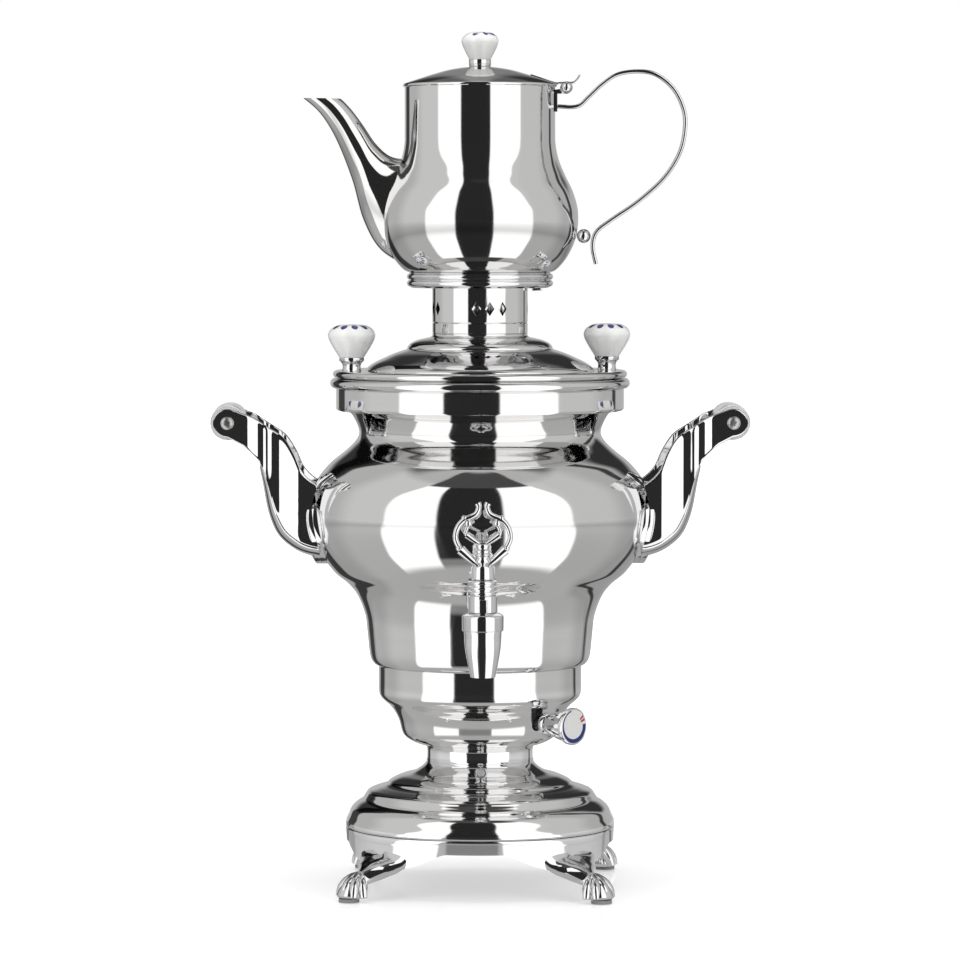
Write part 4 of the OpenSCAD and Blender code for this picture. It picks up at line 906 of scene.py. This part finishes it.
# Lid: a spun dome with a rolled bead and a skirt inside the collar; a chromed neck is crimped on top.
# Two porcelain knobs on turned ferrules are screwed to its flat edge.
lid_z, lid_turn = 336.9, 11
lid_bead = arc(94.65, 2.35, 2.35, -80, 81, 10)
lid_dome = on_curve([(75.4, 4.7), (75.2, 5.4), (73.5, 7.2), (69.5, 9.9), (63.5, 12.8), (56.5, 15.9),
                     (49.4, 18.3), (48.0, 19.0)], 5) \
    + on_curve([(47.9, 19.3), (47.6, 20.4), (45.6, 22.6), (41.3, 24.6), (36, 25.9), (32.6, 26.7), (31.4, 28),
                (31.4, 29.1)], 5)
lid_path = [(87.2, -6), (87.2, 0), (94.6, 0.02), *lid_bead, (94.0, 4.72), (77.4, 4.7), *lid_dome]
lid_inside = [(30.4, 29.1), (30.4, 28), (31.8, 25.9), *beside(lid_dome, -1)[::-1][16:], (74.4, 3.7),
              (94.0, 3.7), (96.0, 2.35), (94.0, 1.0), (86.2, 1.0), (86.2, -6)]
lid_shell = turned("spun_lid", lid_path + lid_inside, steel, 192, at(0, 0, lid_z))
dressed(lid_shell, "lid", "polished_steel", "lid_shell")
vent_z, vent_step, vent_wide, vent_high = 382.44, 16.2, 6.2, 9.4


def vent_cutter():
    """Twelve diamond bars, in four groups of three round the neck."""
    bars = []
    for group in range(4):
        for k in (-1, 0, 1):
            bars.append(bar(4, vent_high / 2, 10, about(lid_turn - 90 + 90 * group + vent_step * k)
                            @ at(30.4, 0, vent_z) @ about(90, "Y")
                            @ Matrix.Scale(vent_wide / vent_high, 4, (0, 1, 0))))
    return joined(bars, "vent_cutter")


neck = turned("lid_neck", [(29.1, 362), (30.1, 362), (30.1, 366.05), (31.0, 366.05), (31.4, 366.5),
                           (31.4, 372.6), (31.0, 373.2), (30.1, 373.2), (30.1, 395.7),
                           (29.1, 395.7)], steel, 144)
dressed(bored(neck, vent_cutter(), steel, 32), "lid", "polished_steel", "lid_neck")

ferrule_side = on_curve([(6.5, 0), (6.0, 1.2), (5.9, 3.6), (6.4, 5.0), (7.3, 6.1), (7.8, 6.5)], 5) \
    + [(8.0, 6.6), (8.1, 6.9), (8.1, 8.7), (7.8, 9.0)]
knob_away = 86
knob_spots = [about(lid_turn + turn) @ at(knob_away, 0, lid_z + 4.7) for turn in (0, 180)]
ferrules = [turned("lid_ferrule", [(2.05, 0), *ferrule_side, (2.05, 9.0)], chrome, 64, spot)
            for spot in knob_spots]
dressed(joined(ferrules, "lid_ferrules"), "lid", "chrome", "lid_ferrules")


def petals(away, across, height, size, count):
    """Drop-shaped petals round a knob's crown, from the flat offsets to its axis. size is a scaled mm."""
    tip_r = 11.4 * size
    far = (away * away + across * across) ** 0.5
    sector = across.maths("ARCTAN2", away) * (count / (2 * math.pi))
    off = (sector.maths("FRACT") - 0.5) * (2 * math.pi / count) * far
    inside = 1 - far.rise(tip_r, tip_r + 0.05 * size)
    wedge = ((far - 4.4 * size) * 0.33 - off.maths("ABSOLUTE")).rise(0, 0.00018) * inside
    past_tip = far - tip_r
    drop = (2.3 * size) ** 2 - past_tip * past_tip - off * off
    return wedge.maths("MAXIMUM", drop.rise(0, 0.0000008)) * height


def lid_knob_petals(place):
    """The same petals on both knobs, which lie on opposite sides of the lid."""
    turned_back = place.node("ShaderNodeVectorRotate", {"rotation_type": "Z_AXIS"},
                             {"Vector": place, "Angle": -math.radians(lid_turn)})
    x, y, z = turned_back.parts()
    return petals(x.maths("ABSOLUTE") - knob_away * MM, y, z.rise(0.3664, 0.3667), MM, 10)


def knob_outline(d, h, foot):
    flare = [(between(foot, d / 2, a), b * h) for a, b in ((0.08, 0.05), (0.34, 0.186), (0.64, 0.356),
                                                           (0.9, 0.525))]
    return on_curve([(foot, 0), *flare, (d / 2, 0.68 * h), (d * 0.458, 0.83 * h), (d * 0.368, 0.93 * h),
                     (d * 0.26, 0.98 * h), (0, h)], 6)


def porcelain_knob(name, glaze, d, height, foot, screw, deep, lobes, place):
    """A knob with a hole for its screw, and shallow valleys pressed into its crown."""
    knob = turned(name, [(0, screw), (2.05, screw), (2.05, 0), *knob_outline(d, height, foot)], glaze, 96)
    for vert in knob.data.vertices:
        x, y, z = vert.co
        away = math.hypot(x, y)
        near = min(away / (d / 2 * MM), 1)
        crown = ramp((z / MM / height - 0.62) / 0.3)
        valley = deep * MM * crown * (0.5 - 0.5 * math.cos(lobes * math.atan2(y, x)))
        vert.co.z -= valley * math.sin(math.pi * near) ** 1.2
        if away > 0:
            pull = 1 - 0.35 * valley * near / away
            vert.co.x, vert.co.y = x * pull, y * pull
    knob.data.transform(place)
    return knob


knob_glaze = porcelain("knob_porcelain", lid_knob_petals)
lid_knobs = [porcelain_knob("lid_knob", knob_glaze, 31, 21.6, 8.2, 13.4, 0.35, 10, spot @ at(0, 0, 9.05))
             for spot in knob_spots]
dressed(joined(lid_knobs, "porcelain_lid_knobs"), "lid", "porcelain", "lid_knobs")

# Teapot stand: a vented sleeve that turns on the neck as a damper, under a ring with two beads.
# The ring is spun, chromed and pressed onto the sleeve, and a tab under it is the damper's grip.
sleeve = turned("vent_sleeve", [(30.4, 373.4), (31.2, 373.4), (31.4, 373.7), (31.4, 396), (30.4, 396)],
                steel, 144)
dressed(bored(sleeve, vent_cutter(), steel, 32), "teapot_stand", "polished_steel", "stand_sleeve")
ring_beads = [point for z in (399, 403.4) for point in arc(46.2, z, 2, -80, 81, 16, 2.1)]
ring = turned("beaded_ring", [(26.4, 396), (44.6, 396), (45.4, 396.3), *ring_beads, (46.6, 406),
                              (45.6, 405.1), (45.6, 403.7), (42.2, 403.7), (42.2, 402.5), (44.2, 402.5),
                              (44.2, 397.2), (26.4, 397.2)], chrome, 144)
tab = block((6.7, 10, 2.6), at(37.55, 0, 395.3), 0.6)
dressed(joined([ring, tab], "beaded_ring"), "teapot_stand", "chrome", "stand_ring")

# Teapot: a spun body with a straight neck, a seamed spout, and holes as a strainer behind the spout.
# The body is polished stainless, and the spout is pressed from two halves and welded on.
pot_z = 404.0
pot_place = at(0, 0, pot_z)
pot_path = on_curve([(44.8, 0), (45.2, 1.6), *[(between(49.5, 64.7, a), z) for a, z in (
    (0.04, 3.8), (0.40, 9.6), (0.66, 16), (0.87, 23.4), (0.97, 30.5), (1, 38.5), (0.95, 46), (0.75, 56),
    (0.43, 66), (0.16, 76), (0.02, 86))], (49.5, 96), (49.5, 123.7)], 6)
pot = turned("spun_pot", [(0, 0), *pot_path, *beside(pot_path, -0.9)[::-1][:-4], (43.6, 0.9), (0, 0.9)],
             steel, 160)
strainer_bars = [bar(20, 2.25, 20, at(-59.7, across, row) @ about(90, "Y"))
                 for row in range(22, 55, 8) for across in (-9, 0, 9)]
bored(pot, joined(strainer_bars, "strainer_bars"), steel, 32)
pot.data.transform(pot_place)
dressed(pot, "teapot", "polished_steel", "pot_body")

spout_low = on_curve([(44, 4), (65, 16.6), (76.8, 36.6), (84.2, 63), (94.6, 89.4), (105, 106.4),
                      (116.2, 116.6)], 7)
spout_top = on_curve([(44, 76.4), (58, 78), (68, 86), (76.6, 98.4), (83.4, 107.6), (88.8, 113.6),
                      (91.7, 116.2)], 7)
spout_half = smoothed([17, 16, 14, 11.4, 9.6, 8.4, 7.8], 7)


def spout_ring(k, wall):
    (lx, lz), (tx, tz) = spout_low[k], spout_top[k]
    cx, cz, dx, dz = (lx + tx) / 2, (lz + tz) / 2, (lx - tx) / 2, (lz - tz) / 2
    share = 1 - wall / math.hypot(dx, dz)
    wide = spout_half[k] - wall
    return [(-(cx + dx * share * math.cos(turn)) * MM, wide * math.sin(turn) * MM,
             (cz + dz * share * math.cos(turn)) * MM) for turn in round_turn(48)]


last_ring = len(spout_low) - 1
spout = ringed("spout", [spout_ring(k, 0) for k in range(last_ring + 1)]
               + [spout_ring(k, 0.9) for k in range(last_ring, -1, -1)], steel, 50, capped=False)
bpy.ops.object.mode_set(mode="EDIT")
bpy.ops.mesh.select_all(action="DESELECT")
bpy.ops.mesh.select_mode(type="EDGE")
bpy.ops.mesh.select_non_manifold()
bpy.ops.mesh.bridge_edge_loops()
finished(spout, steel, 50)
pot_core = turned("pot_core", [(0, -1), (44.9, -1), *beside(pot_path, 0.05), (49.55, 130), (0, 130)], steel)
bored(spout, pot_core, steel, 45)
spout.data.transform(pot_place)
dressed(spout, "teapot", "polished_steel", "pot_spout")

# Strap handle: a chromed strip bent from the hinge bracket to a ball under the belly, with a curled tail.
# A screw through the ball holds it off the pot's hot wall.
strap_line = on_curve([
    (51.05, 111.2), (64, 111.2), (71.5, 117.4), (80, 125.4), (90, 132), (103, 134.2), (115.5, 132.2),
    (127, 123.2), (133.8, 110), (135, 97), (131.4, 80.6), (121, 64), (104, 48.6), (86.5, 36.6), (76.6, 28.6),
    (74.2, 19), (76.4, 7.6)], 6)
strap_section = [(1.3, -4.6), (1.3, -2.4), (1.3, 0), (1.3, 2.4), (1.3, 4.6), (1.1, 5.2), (0.6, 5.5),
                 (-0.6, 5.5), (-1.1, 5.2), (-1.3, 4.6), (-1.3, 0), (-1.3, -4.6), (-1.1, -5.2), (-0.6, -5.5),
                 (0.6, -5.5), (1.1, -5.2)]
strap = ringed("strap", laid_along(strap_line, lambda k: strap_section), chrome, 45)
strap.data.transform(pot_place)
dressed(strap, "teapot", "chrome", "pot_handle")
ball_r, ball_z = 4.6, 26
ball_x = radius_at(pot_path, ball_z) + 0.3 + ball_r
strap_ball = ball("strap_ball", ball_r, 80, 8, 48, pot_place @ at(ball_x, 0, ball_z))
dressed(strap_ball, "teapot", "chrome", "pot_handle_ball")

# Hinge: a bracket on the neck with a knuckle, a pin with ball ends, and a thumb lever riveted to the lid.
# The bracket's leaf is bent round the neck. All are chromed.
neck_r, hinge_x, hinge_z = 49.6, 56.8, 123.5
bracket_leaf = cuboid((1.4, 12.1, 14.4))
bpy.ops.object.mode_set(mode="EDIT")
bpy.ops.mesh.select_all(action="SELECT")
bpy.ops.mesh.subdivide(number_cuts=6)
leaf_mesh = bmesh.from_edit_mesh(bracket_leaf.data)
for vert in leaf_mesh.verts:
    far, turn = (neck_r + 0.7) * MM + vert.co.x, vert.co.y / (neck_r * MM)
    vert.co.x, vert.co.y = far * math.cos(turn), far * math.sin(turn)
    vert.co.z += 0.1149
bmesh.update_edit_mesh(bracket_leaf.data)
finished(bracket_leaf, chrome, 35)
arm = block((4.4, 6.4, 3), at(52.7, 0, hinge_z - 2.5), 0.4, 2, 35)
hinge_spot = at(hinge_x, 0, hinge_z) @ lying
knuckle = turned("knuckle", [(1.05, -3.2), (2.7, -3.2), (3, -2.9), (3, 2.9), (2.7, 3.2), (1.05, 3.2)],
                 chrome, 48, hinge_spot)
bracket = joined([bracket_leaf, arm, knuckle], "hinge_bracket")
bracket.data.transform(pot_place)
dressed(bracket, "teapot", "chrome", "pot_hinge_bracket")
pin = turned("pin", [(0, -9), (1, -9), (1, 9), (0, 9)], chrome, 32, pot_place @ hinge_spot)
pin_ends = [ball("pin_ball", 3.9, 80, 8, 48, pot_place @ at(hinge_x, end, hinge_z)) for end in (-9.4, 9.4)]
dressed(joined([pin, *pin_ends], "ball_ended_pin"), "teapot", "chrome", "pot_hinge_pin")

# Teapot lid: a shallow spun cone with a rolled edge and a skirt inside the neck. The lever is riveted on it,
# and a screw from below holds the ferrule and the porcelain knob.
rim_place = at(0, 0, 527.7)
cone = on_curve([(31.7, 8.35), (22.0, 11.1), (14.0, 12.6), (9, 13.2), (7, 13.3), (2.05, 13.3)], 5)
pot_lid_path = [(48.2, -4), (48.2, 0.3), (50.2, 0.3), (50.6, 0.65), (50.7, 1.3), (50.5, 2.0), (50.1, 2.4),
                (33.0, 7.95), *cone]
pot_lid = turned("spun_pot_lid", sheet_of(pot_lid_path, 0.8), steel, 160, rim_place)
dressed(pot_lid, "teapot_lid", "polished_steel", "pot_lid")

lever_line = on_curve([(33.4, 8.6), (41, 6.1), (49.7, 3.3), (52.7, 3.5), (60.4, 3.6), (62.6, 4.9),
                       (64.2, 6.8), (65, 8.4)], 5)
lever_section = [(0, -4.1), (0, 0), (0, 4.1), (0.15, 4.4), (0.4, 4.5), (0.8, 4.5), (1.05, 4.4), (1.2, 4.1),
                 (1.2, 0), (1.2, -4.1), (1.05, -4.4), (0.8, -4.5), (0.4, -4.5), (0.15, -4.4)]


def lever_ring(k):
    """The lever's section, which is narrower at its riveted end."""
    share = 1 - 1.2 / 4.5 * (0.5 + 0.5 * math.cos(math.pi * min(k / 6, 1)))
    return [(off, y * share) for off, y in lever_section]


lever = ringed("thumb_lever", laid_along(lever_line, lever_ring), chrome, 50)
ears = []
for y in (-4.3, 4.3):
    ears.append(turned("ear", [(1.05, -1), (2.8, -1), (3, -0.8), (3, 0.8), (2.8, 1), (1.05, 1)], chrome, 40,
                       at(hinge_x, y, -0.2) @ lying))
    ears.append(finished(cuboid((5.2, 1.8, 2.6), at(hinge_x, y, 2.2)), chrome, 30))
lever = joined([lever, *ears], "thumb_lever")
lever.data.transform(rim_place)
dressed(lever, "teapot_lid", "chrome", "pot_lid_lever")

ferrule_foot = on_curve([(7, 0.4), (7.25, 1.0), (7.3, 1.5)], 3)
pot_ferrule = turned("pot_ferrule", [(2.05, 0.05), (6.6, 0.05), *ferrule_foot, (7.05, 1.8), (7.3, 2.1),
                                     (7.3, 4.8), (7.0, 5.05), (2.05, 5.05)],
                     chrome, 64, rim_place @ at(0, 0, 13.3))
dressed(pot_ferrule, "teapot_lid", "chrome", "pot_lid_ferrule")


def pot_knob_petals(place):
    x, y, z = place.parts()
    return petals(x, y, z.rise(0.5600, 0.5603), MM * 0.787, 8)


pot_glaze = porcelain("pot_knob_porcelain", pot_knob_petals)
pot_knob = porcelain_knob("pot_knob", pot_glaze, 24.4, 18, 7.2, 10.8, 0.9, 5, rim_place @ at(0, 0, 18.4))
dressed(pot_knob, "teapot_lid", "porcelain", "pot_lid_knob")

# Parts that stay as packed: brass, black moulded plastic, silicone rubber, ceramic and plain steel.
# They are inside, below or behind, and only their finish is added here.
brass, shader, place = new_material("turned_brass")
feed(shader, Base_Color=blended(grain(place, 0.004), (0.66, 0.45, 0.18, 1), (0.56, 0.36, 0.13, 1)),
     Metallic=1.0, Roughness=0.24 + 0.10 * grain(place, 0.0008, 2.0, 0.5, (0.1, 0.1, 1)))
moulded, shader, place = new_material("moulded_black")
feed(shader, Base_Color=(0.022, 0.022, 0.024, 1), Roughness=0.42 + 0.12 * grain(place, 0.0009),
     Normal=bumped(grain(place, 0.0007, 2.0), 0.00004, 0.5))
silicone, shader, place = new_material("silicone_rubber")
feed(shader, Base_Color=blended(grain(place, 0.002), (0.30, 0.30, 0.30, 1), (0.24, 0.24, 0.24, 1)),
     Roughness=0.62 + 0.12 * grain(place, 0.001), Normal=bumped(grain(place, 0.0009, 2.0), 0.00005, 0.4))
fired, shader, place = new_material("fired_ceramic")
feed(shader, Base_Color=blended(grain(place, 0.003), (0.78, 0.74, 0.64, 1), (0.70, 0.66, 0.57, 1)),
     Roughness=0.66 + 0.12 * grain(place, 0.001), Normal=bumped(grain(place, 0.0006, 3.0), 0.00005, 0.5))
kept = {
    satin: ("bottom_cover", "tank_floor", "heating_element", "centre_stud", "stud_nut", "thermostat_bracket",
            "handle_bolts", "tap_nut", "lid_knob_screws", "pot_lid_screw", "thermostat_shaft"),
    brass: ("tap_plug", "element_nuts", "inlet_pins"),
    moulded: ("thermostat_body", "thermal_cutout", "power_inlet"),
    silicone: ("handle_gaskets", "tap_gasket", "foot_pads"),
    fired: ("terminal_block",),
}
for paint, names in kept.items():
    for name in names:
        solids[name].data.materials.clear()
        solids[name].data.materials.append(paint)
